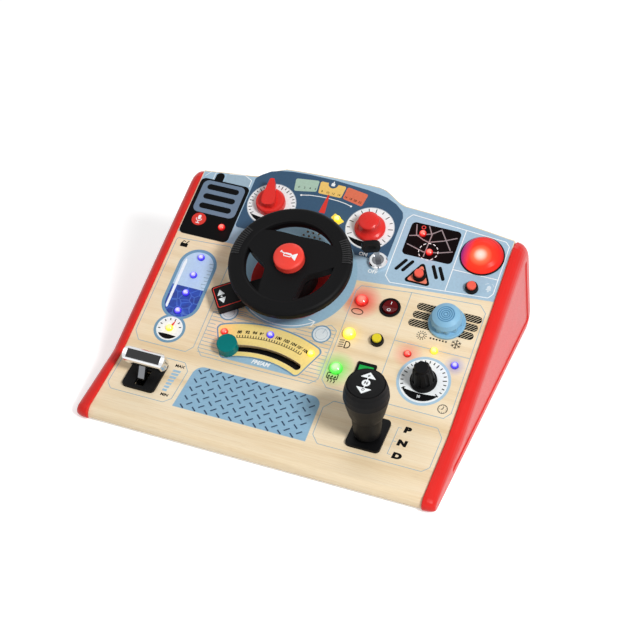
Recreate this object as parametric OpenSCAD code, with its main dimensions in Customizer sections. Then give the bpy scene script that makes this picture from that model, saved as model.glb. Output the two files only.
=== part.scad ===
// Busy board: a sloped toy dashboard held between two moulded side panels.
// It carries a steering wheel with horn and stalk, two floor levers, four knobs,
// a lock with its key, a tuning slider, two rocker switches, push buttons and lamps.
// Places on the face are [u, v]: u to the right from the left edge of the face,
// v up the slope from its top corners. Heights n stand square to the face.
// Places on the flatter front strip are [u, s], with s measured from the bend.

/* [Housing] */
// Clear width of the face between the side panels
face_w = 365; // [350:1:400]
// Overall depth from nose to back
board_d = 378.5; // [368:0.5:395]
// Height of the nose above the table
nose_h = 13.5; // [12:0.25:17]
// Depth of the front strip from the nose to the bend
front_d = 87.6; // [81:0.2:95]
// Slope of the main face
face_slope = 28; // [26:0.5:30]
// Slope of the front strip
front_slope = 14; // [12:0.5:16]
// Thickness of the bent plywood face
panel_t = 5; // [4:0.5:6]
// Thickness of the base and back boards
board_t = 5; // [4:0.5:7]
// Thickness of a side panel
side_t = 14; // [13:0.5:18]
// Height of the side panels above the face
rim = 3; // [1:0.5:6]
// Width of the full round along the outer edge of a side panel
edge_w = 12; // [6:0.5:12]
// Drop of that round along the top
edge_top = 20; // [8:0.5:24]
// Drop of that round at the bend
edge_bend = 16; // [8:0.5:18]
// Drop of that round at the nose
edge_nose = 7; // [3:0.5:8]
// Reach of that round along the front
edge_front = 6; // [3:0.5:9]
// Reach of that round along the back
edge_back = 7; // [3:0.5:10]
// Rise of that round along the foot
edge_foot = 2; // [1:0.5:3]
// Border round the sunk field of a side panel
field_border = 7; // [5:0.5:9]
// Start of the sunk field behind the nose
field_front = 55; // [45:1:80]
// Depth of the sunk field
field_d = 1.2; // [0.6:0.1:2]
// Rounding of the nose
nose_r = 9.2; // [6:0.1:10]
// Radius of the bend between face and front strip
bend_r = 30; // [15:1:45]
// Reach of the side panels past the top corners of the face
back_reach = 8; // [7:0.5:14]
// Rounding of the upper back corner of a side panel
top_r = 24; // [20:0.5:28]
// Rounding of the lower back corner of a side panel
heel_r = 15; // [8:0.5:20]
// Setback of the back board from the top corners
back_inset = 5; // [4:0.5:9]
// Rise of the gently crowned top edge
crown_h = 13.5; // [4:0.5:18]
// Rise of the arch above the crowned edge
arch_h = 15.5; // [5:0.5:22]
// Middle of the arch across the face
arch_u = 148; // [130:1:180]
// Half width of the arch
arch_half = 90; // [70:1:110]
// Section of the wooden battens
batten = 10; // [8:0.5:13]
// Length of a face batten
face_batten_l = 200; // [150:5:210]
// Length of a base batten
base_batten_l = 170; // [120:5:200]
// Length of a back batten
back_batten_l = 95; // [60:5:105]
// Shank radius of the housing screws
screw_r = 1.6; // [1.2:0.1:2]
// Head radius of the housing screws
screw_head_r = 3.5; // [2.8:0.1:4.2]
// Head thickness of the housing screws
screw_head_t = 1.8; // [1.2:0.1:2.4]
// Length of a housing screw under its head
screw_l = 12; // [9:0.5:14]

/* [Fits] */
// Gap between fixed pieces
fit_gap = 0.2; // [0.1:0.05:0.4]
// Radial gap of turning fits
run_gap = 0.06; // [0.03:0.01:0.1]
// Radial gap of sliding caps and open running gaps
slide_gap = 0.35; // [0.3:0.05:0.6]

/* [Steering] */
// Place of the steering axis
wheel_at = [150, -110]; // [-150:0.5:200]
// Outer radius of the steering wheel
wheel_r = 67; // [60:0.5:72]
// Width of the wheel's rim
rim_w = 19; // [14:0.5:22]
// Height of the wheel's rim
rim_h = 13; // [10:0.5:16]
// Thickness of the spoke plate
spoke_t = 11.5; // [9:0.5:14]
// Drop of the hub below the spoke plate
hub_drop = 5; // [4:0.5:9]
// Radius of the hub boss
hub_r = 21; // [19:0.5:24]
// Height of the column shroud above the face
column_h = 25; // [22:0.5:32]
// Outer radius of the column shroud
column_r = 26; // [23:0.5:32]
// Wall of the column shroud
column_wall = 3.5; // [2:0.5:4.5]
// Radius of the disc under the column
disc_r = 48; // [38:0.5:52]
// Thickness of the disc under the column
disc_t = 3; // [2:0.5:4]
// Radius of the steering shaft
shaft_r = 6; // [5:0.5:7]
// Wall of the steering bush
bush_wall = 2; // [1.5:0.25:3]
// Radius of the horn button
horn_r = 16.5; // [13:0.5:17.5]
// Height of the horn button above the spoke plate
horn_h = 11; // [6:0.5:13]
// Depth of the horn's pocket
horn_pocket = 6; // [5:0.5:7]
// Travel of the horn button
horn_travel = 3; // [1.5:0.5:3.5]
// Direction of the indicator stalk, turning from the right
stalk_dir = 216; // [205:1:228]
// Reach of the stalk from the steering axis
stalk_reach = 89; // [80:0.5:95]
// Width of the stalk's paddle
stalk_w = 29; // [20:0.5:32]
// Length of the stalk's paddle
stalk_paddle_l = 40; // [30:0.5:46]
// Width of the stalk's neck
stalk_neck_w = 14; // [10:0.5:16]
// Thickness of the stalk
stalk_t = 11; // [8:0.5:12]
// Swing of the stalk to each side
stalk_swing = 12; // [6:1:14]

/* [Knobs] */
// Place of the pointer knob
pointer_at = [90.4, -23.6]; // [-40:0.1:110]
// Place of the volume knob
volume_at = [208, -26]; // [-40:0.1:230]
// Place of the fan knob
fan_at = [324.5, -117]; // [-130:0.1:330]
// Place of the dial knob
dial_at = [321.5, -189]; // [-200:0.1:330]
// Radius of a knob's spindle
spindle_r = 3; // [2.5:0.1:3.5]
// Radius of the threaded bush round a spindle
thread_r = 4.6; // [4.2:0.1:5.2]
// Radius of a panel nut
nut_r = 7; // [6.4:0.1:7.8]
// Thickness of a panel nut
nut_t = 2.2; // [1.6:0.1:2.8]
// Side of a rotary switch's body
switch_w = 17; // [14:0.5:20]
// Depth of a rotary switch's body
switch_d = 10; // [8:0.5:13]
// Gap between a knob's skirt and the face
knob_gap = 0.6; // [0.4:0.1:1.2]
// Skirt radius of the pointer knob
pointer_r = 16.5; // [14:0.5:18]
// Reach of the pointer's tip
pointer_reach = 23; // [20:0.5:25]
// Height of the pointer knob
pointer_h = 18; // [14:0.5:20]
// Width of the pointer's grip
pointer_w = 15; // [12:0.5:22]
// Direction of the pointer at rest, turning left from straight up
pointer_dir = 10; // [0:1:20]
// Skirt radius of the volume knob
volume_r = 17.2; // [14:0.1:18]
// Cap radius of the volume knob
volume_cap_r = 11.6; // [10:0.1:13]
// Height of the volume knob
volume_h = 20; // [17:0.5:22]
// Flange radius of the fan knob
fan_r = 20; // [17:0.5:22]
// Grip radius of the fan knob
fan_grip_r = 17; // [14:0.5:18]
// Height of the fan knob
fan_h = 20; // [16:0.5:24]
// Top radius of the fan knob
fan_top_r = 11.5; // [9:0.5:13]
// Base radius of the dial knob
dial_r = 14.3; // [12.5:0.1:16]
// Top radius of the dial knob
dial_top_r = 7.8; // [7:0.1:9]
// Height of the dial knob
dial_h = 31; // [24:0.5:34]

/* [Key] */
// Place of the lock
lock_at = [230.5, -64.5]; // [-80:0.5:240]
// Radius of the lock's bezel
lock_r = 10.3; // [9.5:0.1:12]
// Height of the lock's bezel
lock_h = 6; // [4:0.5:8]
// Radius of the turning plug
plug_r = 6.5; // [5.8:0.1:7]
// Depth of the lock behind the face
lock_d = 12; // [10:0.5:16]
// Width of the key's blade
blade_w = 5.6; // [5:0.1:8.4]
// Thickness of the key's blade
blade_t = 1.8; // [1.4:0.1:2.4]
// Free length of the blade between lock and bow
blade_free = 19; // [14:0.5:26]
// Width of the key's bow
bow_w = 21; // [18:0.5:23]
// Height of the key's bow
bow_h = 17; // [16:0.5:26]
// Thickness of the key's bow
bow_t = 5; // [4:0.5:6]
// Width of the hole through the key's bow
bow_hole_w = 11; // [8:0.5:12]
// Height of the hole through the key's bow
bow_hole_h = 7; // [6:0.5:7.5]
// Offset of the bow to one side of the blade
bow_off = -5; // [-6:0.5:0]
// Direction of the key at rest
key_dir = 20; // [0:1:40]

/* [Radio slider] */
// Middle of the tuning slot
slot_at = [148, -201.5]; // [-210:0.5:160]
// Radius of the tuning slot
arc_r = 111.5; // [105:0.5:115]
// Place of the slider along the arc, to the left of the middle
slider_dir = 20; // [10:0.5:20]
// Half angle of the slot
slot_half = 21; // [21:0.5:23]
// Width of the slot
slot_w = 8.2; // [6:0.1:9]
// Radius of the slider's stem
stem_r = 2.6; // [2:0.1:2.9]
// Radius of the slider's knob
slider_r = 11; // [9:0.5:12]
// Height of the slider's knob
slider_h = 13.5; // [10:0.5:16]
// Width of the shoe under the face
shoe_w = 12; // [10:0.5:14]
// Thickness of the shoe
shoe_t = 3; // [2:0.5:4]
// Wall of the shoe's guide
guide_wall = 2; // [1.5:0.5:3]

/* [Levers] */
// Middle of the throttle plate
throttle_at = [37.5, -24.5]; // [-30:0.5:45]
// Middle of the gear plate
gear_at = [287, -24.5]; // [-30:0.5:295]
// Width of a lever plate
plate_w = 37; // [32:0.5:42]
// Length of a lever plate
plate_l = 44; // [40:0.5:48]
// Thickness of a lever plate
plate_t = 3; // [2:0.5:4]
// Depth of the lever axles under the face
pivot_d = 9; // [8:0.5:11]
// Radius of a lever axle
axle_r = 2.5; // [2:0.1:3]
// Width of a lever's foot
foot_w = 9; // [8:0.5:14]
// Thickness of a lever's foot
foot_t = 9; // [7:0.5:10]
// Thickness of a bracket's ears
ear_t = 3; // [2:0.5:4]
// Offset of the throttle's axle from the middle of its plate
throttle_back = -6.5; // [-8:0.5:-4]
// Swing of the throttle to each side
throttle_swing = 18; // [10:1:20]
// Height of the throttle handle above the front strip
handle_n = 21; // [18:0.5:26]
// Offset of the throttle handle behind its axle
handle_s = 11; // [6:0.5:13]
// Length of the throttle handle
handle_l = 47; // [42:0.5:56]
// Width of the throttle handle
handle_w = 18; // [15:0.5:20]
// Thickness of the throttle handle
handle_t = 16; // [13:0.5:17]
// Offset of the gear lever's axle from the middle of its plate
gear_back = -2.5; // [-5:0.5:1]
// Swing of the gear lever to each side
gear_swing = 10; // [6:1:11]
// Radius of the gear sleeve at its foot
sleeve_r = 14; // [9:0.5:14.5]
// Radius of the gear sleeve under the knob
collar_r = 16.5; // [15:0.1:18]
// Height of the seam between sleeve and knob
seam_n = 36; // [30:0.5:42]
// Largest radius of the gear knob
gear_r = 23.5; // [21:0.5:25]
// Height of the gear knob's top
gear_n = 82; // [72:0.5:88]

/* [Switches] */
// Place of the round rocker switch
round_rocker_at = [260.5, -115]; // [-120:0.5:270]
// Place of the square rocker switch
square_rocker_at = [259.5, -199]; // [-205:0.5:270]
// Flange radius of the round rocker switch
round_rocker_r = 11.5; // [10.5:0.1:13]
// Width of the square rocker's flange
square_rocker_w = 21; // [19:0.5:24]
// Length of the square rocker's flange
square_rocker_l = 27; // [25:0.5:30]
// Width of a rocker's flange round its window
rocker_lip = 2.3; // [2:0.1:3]
// Tilt of a rocker to each side
rocker_tilt = 8; // [5:0.5:9]
// Place of the hazard button
hazard_at = [278.5, -69.5]; // [-75:0.5:285]
// Place of the siren button
siren_at = [337, -69.5]; // [-75:0.5:345]
// Place of the yellow button
yellow_at = [260, -157]; // [-165:0.5:270]
// Radius of a push button's cap
cap_r = 5; // [4:0.1:5.6]
// Radius of a push button's bezel
bezel_r = 7.25; // [6.9:0.05:8.5]
// Height of a push button's bezel
bezel_h = 5.5; // [4:0.5:7]
// Travel of a push button
button_travel = 2.5; // [1:0.5:3]

/* [Lamps] */
// Place of the beacon
beacon_at = [336.4, -28]; // [-35:0.1:340]
// Outer radius of the beacon's ring
beacon_r = 24.3; // [20:0.1:25]
// Rise of the beacon's dome
beacon_rise = 11; // [8:0.5:18]
// Radius of a signal lamp
lamp_r = 7; // [5:0.25:8]
// Place of the column of signal lamps
lamp_u = 228.8; // [225:0.1:232]
// Radius of a small round light
led_r = 4; // [3:0.1:4.5]

/* [Power] */
// Place of the battery box on the base, across and front to back
battery_at = [-70, 70]; // [-80:1:80]
// Radius of a battery cell
cell_r = 7.2; // [6.8:0.1:7.4]
// Length of a battery cell
cell_l = 50; // [48:0.5:51]
// Radius of the speaker
speaker_r = 20; // [16:0.5:22]

/* [Hidden] */
$fn = 64;

// Steps of each rounded corner, and a small overshoot for clean cuts
corner_steps = 6;
cut = 1;

// Lines of the side view, in [y, z]
front_y = -board_d / 2;
bend_y = front_y + front_d;
bend_z = nose_h + front_d * tan(front_slope);
heel_back = heel_r / tan((90 - face_slope) / 2) - heel_r;
// Length of the main face from its top corners to the bend, as the depth leaves it
face_l = cos(face_slope) * (board_d / 2 + heel_back - bend_y - back_reach * cos(face_slope)
    - (bend_z + back_reach * sin(face_slope)) * tan(face_slope));
face_y = bend_y + face_l * cos(face_slope);
rear_h = bend_z + face_l * sin(face_slope);
bend_mid = (face_slope + front_slope) / 2;
bend_half = (face_slope - front_slope) / 2;
function face_pt(v, n) = [face_y + v * cos(face_slope) - n * sin(face_slope),
    rear_h + v * sin(face_slope) + n * cos(face_slope)];
function bend_pt(n) = [bend_y - n * sin(bend_mid) / cos(bend_half),
    bend_z + n * cos(bend_mid) / cos(bend_half)];
function nose_pt(n, y) = [y, bend_pt(n)[1] - (bend_pt(n)[0] - y) * tan(front_slope)];
function ground_pt(v) = face_pt(v, -(rear_h + v * sin(face_slope)) / cos(face_slope));

// Places are drawn on a face of this width and length and stretch with the real one
layout = [365, 241.06];
function place(at) = [at[0] * face_w / layout[0], at[1] * face_l / layout[1]];
function front_place(at) = [at[0] * face_w / layout[0], at[1]];
wheel_p = place(wheel_at);
pointer_p = place(pointer_at);
volume_p = place(volume_at);
fan_p = place(fan_at);
dial_p = place(dial_at);
lock_p = place(lock_at);
round_rocker_p = place(round_rocker_at);
square_rocker_p = place(square_rocker_at);
hazard_p = place(hazard_at);
siren_p = place(siren_at);
yellow_p = place(yellow_at);
beacon_p = place(beacon_at);
throttle_p = front_place(throttle_at);
gear_p = front_place(gear_at);
arc_p = place(slot_at) - [0, arc_r];

// Frames on the face and on the front strip
module on_face(at, n = 0) {
    translate([-face_w / 2, face_y, rear_h])
        rotate([face_slope, 0, 0])
            translate([at[0], at[1], n])
                children();
}

module on_front(at, n = 0) {
    translate([-face_w / 2, bend_y, bend_z])
        rotate([front_slope, 0, 0])
            translate([at[0], at[1], n])
                children();
}

// A closed outline with each corner rounded by its own radius
function unit(p) = p / norm(p);
function turn(a) = a > 180 ? a - 360 : a < -180 ? a + 360 : a;
function corner_arc(p, before, after, r) =
    let (d1 = unit(before - p), d2 = unit(after - p), half = acos(d1 * d2) / 2,
        c = p + unit(d1 + d2) * r / sin(half),
        t1 = p + d1 * r / tan(half) - c, t2 = p + d2 * r / tan(half) - c,
        a1 = atan2(t1[1], t1[0]), sweep = turn(atan2(t2[1], t2[0]) - a1))
    [for (k = [0 : corner_steps]) c + r * [cos(a1 + sweep * k / corner_steps),
        sin(a1 + sweep * k / corner_steps)]];
function rounded(corners, radii) = let (m = len(corners))
    [for (i = [0 : m - 1], q = radii[i] > 0
        ? corner_arc(corners[i], corners[(i + m - 1) % m], corners[(i + 1) % m], radii[i])
        : [corners[i]]) q];
function box_outline(w, l, r) = rounded([[-w / 2, -l / 2], [w / 2, -l / 2],
    [w / 2, l / 2], [-w / 2, l / 2]], [r, r, r, r]);

// An outline moved inwards, all its edges by the same distance
function inward(a, b) = let (d = unit(b - a)) [-d[1], d[0]];
function inset(corners, d) = let (m = len(corners))
    [for (i = [0 : m - 1]) let (n1 = inward(corners[(i + m - 1) % m], corners[i]),
        n2 = inward(corners[i], corners[(i + 1) % m]))
        corners[i] + (n1 + n2) * d / (1 + n1 * n2)];

// Basic solids between two heights
module disc(r, lo, hi) {
    translate([0, 0, lo]) cylinder(r = r, h = hi - lo);
}

module prism(points, lo, hi) {
    translate([0, 0, lo]) linear_extrude(hi - lo) polygon(points);
}

module block(w, l, lo, hi) {
    translate([-w / 2, -l / 2, lo]) cube([w, l, hi - lo]);
}

module turned(profile) {
    rotate_extrude() polygon(profile);
}

module across(w, points) {
    translate([-w / 2, 0, 0]) rotate([90, 0, 90]) linear_extrude(w) polygon(points);
}

module pin_across(r, w) {
    rotate([0, 90, 0]) translate([0, 0, -w / 2]) cylinder(r = r, h = w);
}

function dome(r, base, rise) = [for (a = [0 : 15 : 90]) [a == 90 ? 0 : r * cos(a),
    base + rise * sin(a)]];

// Side panels, moulded with a full round outer edge, a small inner one and a sunk field
side_inner_r = 1;
edge_steps = 6;
field_corner_r = 3;
field_draft = 0.5;
function back_pt(v, z) = face_pt(v, (z - rear_h - v * sin(face_slope)) / cos(face_slope));
function side_corners(t) = [[front_y + edge_front * t, edge_foot * t],
    back_pt(back_reach - edge_back * t, edge_foot * t),
    face_pt(back_reach - edge_back * t, rim - edge_top * t), bend_pt(rim - edge_bend * t),
    nose_pt(rim - edge_nose * t, front_y + edge_front * t)];
function field_corners(d) = let (back = back_reach - edge_back - d, y = front_y + field_front + d)
    [[y, edge_foot + d], back_pt(back, edge_foot + d), face_pt(back, rim - edge_top - d),
        bend_pt(rim - edge_bend - d), nose_pt(rim - edge_nose - d, y)];
// The nose and the toe share the height of the front edge
function nose_fit(corners, r) = min(r, (corners[4][1] - corners[0][1])
    / (1 + 1 / tan(45 + front_slope / 2)) - 0.1);
function side_outline(corners, d) = let (r = nose_fit(corners, nose_r))
    rounded(corners, [r, heel_r - d / 2, top_r - d, bend_r + d, r]);
function field_outline(d) = rounded(field_corners(field_border + d),
    [field_corner_r, field_corner_r, field_corner_r, bend_r, field_corner_r]);
side_rings = concat(
    [[0, side_outline(inset(side_corners(0), side_inner_r), side_inner_r)],
        [side_inner_r, side_outline(side_corners(0), 0)]],
    [for (k = [0 : edge_steps]) let (a = 90 * k / edge_steps, s = 1 - cos(a))
        [side_t - edge_w * (1 - sin(a)), side_outline(side_corners(s), edge_back * s)]],
    [[side_t, field_outline(0)], [side_t - field_d, field_outline(field_draft)]]);

// The outline is hollow at the bend, so each flat side is a fan about a point that sees all of it
module side_panel() {
    m = len(side_rings[0][1]);
    last = len(side_rings) - 1;
    middle = [bend_y + face_l / 3, field_border + edge_foot + 2 * field_corner_r];
    ends = [for (k = [0, last]) [side_rings[k][0], middle[0], middle[1]]];
    points = concat([for (ring = side_rings, p = ring[1]) [ring[0], p[0], p[1]]], ends);
    hub = (last + 1) * m;
    walls = [for (k = [0 : last - 1], i = [0 : m - 1], half = [0, 1])
        let (j = (i + 1) % m, a = k * m + i, b = k * m + j)
        half == 0 ? [a, a + m, b + m] : [a, b + m, b]];
    caps = [for (i = [0 : m - 1], side = [0, 1]) let (j = (i + 1) % m)
        side == 0 ? [i, j, hub] : [last * m + j, last * m + i, hub + 1]];
    polyhedron(points, concat(walls, caps));
}

module left_side_panel() {
    color("red") translate([-face_w / 2, 0, 0]) mirror([1, 0, 0]) side_panel();
}

module right_side_panel() {
    color("red") translate([face_w / 2, 0, 0]) side_panel();
}

// Face panel: one bent sheet with a crowned, arched top edge
panel_foot = 1.5;
panel_w = face_w - 2 * fit_gap;
panel_y = front_y + rim;
arch_flat = 0.6;
function ease(s) = s * s * (3 - 2 * s);
function arch(x) = x < arch_flat ? 1 : x < 1 ? 1 - ease((x - arch_flat) / (1 - arch_flat)) : 0;
function top_v(u) = crown_h * (1 - pow(2 * u / face_w - 1, 2))
    + arch_h * arch(abs(u - place([arch_u, 0])[0]) / arch_half);
top_v_max = crown_h + arch_h + 10;
sheet_nose_r = min(nose_r,
    (nose_pt(0, panel_y)[1] - panel_foot - panel_t) * tan(45 + front_slope / 2));
sheet_outline = rounded([face_pt(top_v_max, 0), bend_pt(0), nose_pt(0, panel_y),
    [panel_y, panel_foot], [panel_y + panel_t, panel_foot], nose_pt(-panel_t, panel_y + panel_t),
    bend_pt(-panel_t), face_pt(top_v_max, -panel_t)],
    [0, bend_r, sheet_nose_r, panel_t - 0.5, 0, max(sheet_nose_r - panel_t, 1), bend_r + panel_t, 0]);
top_steps = 40;
top_margin = 5;
top_outline = concat([[-top_margin, -2 * face_l], [face_w + top_margin, -2 * face_l]],
    [for (i = [top_steps : -1 : 0]) let (u = face_w * i / top_steps)
        [i == 0 ? -top_margin : i == top_steps ? face_w + top_margin : u, top_v(u)]]);

module face_panel() {
    panel_holes = concat(
        [for (at = knob_places) [at, thread_r + fit_gap]],
        [for (at = button_places) [at, button_body_r + fit_gap]],
        [for (at = concat(red_leds, yellow_leds, blue_leds, [beacon_p])) [at, led_r + fit_gap]],
        [for (at = lamp_places) [at, lamp_r + fit_gap]],
        [for (at = speaker_holes) [at, speaker_hole_r]],
        [[wheel_p, bush_r + fit_gap], [lock_p, lock_body_r + fit_gap],
            [round_rocker_p, rocker_body_r + fit_gap]]);
    color("burlywood") difference() {
        intersection() {
            across(panel_w, sheet_outline);
            on_face([0, 0]) prism(top_outline, -face_l, face_l);
        }
        for (hole = panel_holes)
            on_face(hole[0]) disc(hole[1], -panel_t - cut, cut);
        on_face(square_rocker_p)
            block(square_body_w + 2 * fit_gap, square_body_l + 2 * fit_gap, -panel_t - cut, cut);
        on_face(arc_p) {
            prism(arc_band(arc_r, slot_w, -slot_half, slot_half), -panel_t - cut, cut);
            for (a = [-slot_half, slot_half]) translate(on_arc(arc_r, a))
                disc(slot_w / 2, -panel_t - cut, cut);
        }
        for (lever = levers)
            on_front(lever[0]) translate([0, lever[1], 0])
                block(lever_gate_w + 2 * gate_step, lever[2] + 2 * gate_step, -panel_t - cut, cut);
    }
}

// Base and back boards
base_front = panel_y + panel_t + fit_gap;
base_back = ground_pt(-back_inset - board_t)[0] - board_t * tan(face_slope);
counter_t = screw_head_t + 0.4;
base_screw_in = 20;
base_screw_y = base_batten_l / 2 - base_screw_in;
batten_x = panel_w / 2 - batten / 2;
base_mid_y = 20;
base_screws = [for (x = [-1, 1], y = [-1, 1]) [x * batten_x, base_mid_y + y * base_screw_y]];

module base_board() {
    color("peru") difference() {
        translate([0, (base_front + base_back - fit_gap) / 2, 0])
            block(panel_w, base_back - fit_gap - base_front, 0, board_t);
        translate([battery_at[0], battery_at[1], 0]) {
            block(battery_w, battery_l, -cut, board_t + cut);
            block(door_w + 2 * fit_gap, door_l + 2 * fit_gap, -cut, door_lo + door_t + fit_gap);
            translate([0, door_screw_y, 0]) disc(door_screw_r + run_gap, 0, board_t + cut);
        }
        for (p = base_screws) translate([p[0], p[1], 0]) {
            disc(screw_r + run_gap, -cut, board_t + cut);
            disc(screw_head_r + fit_gap, -cut, counter_t);
        }
    }
}

back_screw_n = [-55, -115];
back_screw_u = [fit_gap + batten / 2, face_w - fit_gap - batten / 2];
back_screws = [for (u = back_screw_u, n = back_screw_n) [u, n]];
back_batten_n = (back_screw_n[0] + back_screw_n[1]) / 2;

module along_v() {
    rotate([90, 0, 0]) children();
}

module back_board() {
    front_v = -back_inset - board_t;
    color("peru") difference() {
        across(panel_w, [face_pt(-back_inset, -panel_t - fit_gap), ground_pt(-back_inset),
            ground_pt(front_v), face_pt(front_v, -panel_t - fit_gap)]);
        for (p = back_screws) on_face([p[0], -back_inset], p[1])
            along_v() disc(screw_r + run_gap, -cut, board_t + cut);
    }
}

// Battens in the corners, which the boards are screwed to
face_batten_drop = 4.5;
face_batten_v = -face_l / 2 - face_batten_drop;

module battens() {
    color("tan") {
        for (p = [-1, 1]) difference() {
            translate([p * batten_x, base_mid_y, 0])
                block(batten, base_batten_l, board_t, board_t + batten);
            for (q = base_screws) translate([q[0], q[1], 0])
                disc(screw_r + run_gap, 0, board_t + screw_l);
        }
        for (u = back_screw_u) {
            on_face([u, face_batten_v])
                block(batten, face_batten_l, -panel_t - batten, -panel_t);
            difference() {
                on_face([u, -back_inset - board_t - batten / 2], back_batten_n)
                    block(batten, batten, -back_batten_l / 2, back_batten_l / 2);
                for (p = back_screws) on_face([p[0], -back_inset], p[1])
                    along_v() disc(screw_r + run_gap, 0, board_t + screw_l);
            }
        }
    }
}

module screw(head_r, head_t, r, l) {
    union() {
        disc(head_r, 0, head_t);
        disc(r, head_t / 2, head_t + l);
    }
}

module screws() {
    color("silver") {
        for (p = base_screws) translate([p[0], p[1], counter_t - screw_head_t])
            screw(screw_head_r, screw_head_t, screw_r, screw_l);
        for (p = back_screws) on_face([p[0], -back_inset], p[1])
            along_v() translate([0, 0, -screw_head_t])
                screw(screw_head_r, screw_head_t, screw_r, screw_l);
        translate([battery_at[0], battery_at[1] + door_screw_y, door_lo])
            screw(door_head_r, door_head_t, door_screw_r, board_t - door_lo - door_head_t);
    }
}

// Battery box: three cells side by side over a screwed door in the base
cell_gap = 0.5;
cell_count = 3;
cell_pitch = 2 * cell_r + cell_gap;
contact_t = 0.5;
battery_w = cell_l + 2 * contact_t + 4 * cell_gap;
battery_l = cell_count * cell_pitch + cell_gap;
battery_wall = 2;
battery_flange = 5;
door_lo = 0.4;
door_t = 2.4;
door_lip = 4;
door_tab = 10;
door_w = battery_w + 2 * door_lip;
door_l = battery_l + 2 * door_tab;
door_screw_r = 1.2;
door_head_r = 2.4;
door_head_t = 1.2;
door_screw_y = battery_l / 2 + door_tab / 2;
cell_z = door_lo + door_t + cell_gap + cell_r;
battery_top = cell_z + cell_r + cell_gap;

module on_battery() {
    translate([battery_at[0], battery_at[1], 0]) children();
}

module battery_box() {
    color("dimgray") on_battery() difference() {
        union() {
            block(battery_w + 2 * battery_wall, battery_l + 2 * battery_wall,
                board_t, battery_top + battery_wall);
            block(battery_w + 2 * battery_flange, battery_l + 2 * battery_flange,
                board_t, board_t + battery_wall);
        }
        block(battery_w, battery_l, board_t - cut, battery_top);
    }
}

module battery_door() {
    color("dimgray") on_battery() difference() {
        block(door_w, door_l, door_lo, door_lo + door_t);
        translate([0, door_screw_y, 0]) {
            disc(door_screw_r + run_gap, 0, board_t);
            disc(door_head_r + fit_gap, 0, door_lo + door_head_t);
        }
    }
}

module battery_cells() {
    color("steelblue") on_battery()
        for (i = [0 : cell_count - 1])
            translate([0, (i - (cell_count - 1) / 2) * cell_pitch, cell_z])
                pin_across(cell_r, cell_l);
}

module battery_contacts() {
    contact_h = cell_r;
    color("silver") on_battery()
        for (x = [-1, 1], i = [0 : cell_count - 1])
            translate([x * (cell_l / 2 + cell_gap + contact_t / 2),
                (i - (cell_count - 1) / 2) * cell_pitch, 0])
                block(contact_t, cell_r * 1.4, cell_z - contact_h / 2, cell_z + contact_h);
}

// Circuit board on four posts, with its larger parts
pcb_at = [65, 40];
pcb_w = 110;
pcb_l = 60;
pcb_t = 1.6;
pcb_post_h = 6;
pcb_post_r = 3;
pcb_post_in = 5;
chip_w = 18;
chip_l = 14;
chip_t = 2.5;
plug_count = 5;
plug_pitch = 18;
plug_w = 12;
plug_l = 6;
plug_h = 6;
plug_in = 8;
can_r = 5;
can_h = 11;

module circuit_board() {
    top = board_t + pcb_post_h + pcb_t;
    color("seagreen") translate([pcb_at[0], pcb_at[1], 0]) union() {
        block(pcb_w, pcb_l, board_t + pcb_post_h, top);
        for (x = [-1, 1], y = [-1, 1])
            translate([x * (pcb_w / 2 - pcb_post_in), y * (pcb_l / 2 - pcb_post_in), 0])
                disc(pcb_post_r, board_t, board_t + pcb_post_h + pcb_t / 2);
        block(chip_w, chip_l, top - pcb_t / 2, top + chip_t);
        for (i = [0 : plug_count - 1])
            translate([(i - (plug_count - 1) / 2) * plug_pitch, pcb_l / 2 - plug_in, 0])
                block(plug_w, plug_l, top - pcb_t / 2, top + plug_h);
        translate([-pcb_w / 4, -pcb_l / 4, 0]) disc(can_r, top - pcb_t / 2, top + can_h);
    }
}

// Speaker behind rows of drilled holes above the steering column
speaker_at = place([149, -52.5]);
speaker_hole_r = 1.3;
speaker_pitch = 6.4;
speaker_rows = [3, 4, 5];
speaker_holes = [for (k = [0 : len(speaker_rows) - 1], i = [0 : speaker_rows[k] - 1])
    speaker_at + [(i - (speaker_rows[k] - 1) / 2) * speaker_pitch, (1 - k) * speaker_pitch * 0.8]];

module speaker() {
    flange_t = 2;
    cone_d = 7;
    magnet_d = 8;
    color("black") on_face(speaker_at, -panel_t) turned([[0, -cone_d - magnet_d],
        [speaker_r * 0.6, -cone_d - magnet_d], [speaker_r * 0.6, -cone_d],
        [speaker_r - 2, -flange_t], [speaker_r, -flange_t], [speaker_r, 0],
        [speaker_r - 2, 0], [speaker_r / 2, -cone_d + 1], [0, -cone_d + 2]]);
}

// Steering column: fixed disc, shroud and bush
bush_r = shaft_r + bush_wall;
bush_flange_t = 3;
bush_flange_r = bush_r + 5;
bush_top = column_h - column_wall - slide_gap;
stalk_lo = disc_t + 2 * slide_gap;
stalk_hub_r = bush_r + 8;
shroud_in_r = column_r - column_wall;
stalk_window = asin(stalk_neck_w / 2 / shroud_in_r) + stalk_swing + 3;
window_reach = column_r / cos(stalk_window / 2) + 4;

module column_disc() {
    color("firebrick") on_face(wheel_p) difference() {
        turned([[0, 0], [disc_r, 0], [disc_r, disc_t - 1], [disc_r - 1, disc_t], [0, disc_t]]);
        disc(bush_r + run_gap, -cut, disc_t + cut);
    }
}

module column_shroud() {
    color("black") on_face(wheel_p) difference() {
        disc(column_r, disc_t, column_h);
        disc(shroud_in_r, disc_t - cut, column_h - column_wall);
        disc(shaft_r + 2 * slide_gap, disc_t, column_h + cut);
        rotate(stalk_dir) prism([[0, 0],
            window_reach * [cos(stalk_window), -sin(stalk_window)], [window_reach, 0],
            window_reach * [cos(stalk_window), sin(stalk_window)]],
            disc_t - cut, stalk_lo + stalk_t + 2 * slide_gap);
    }
}

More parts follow.
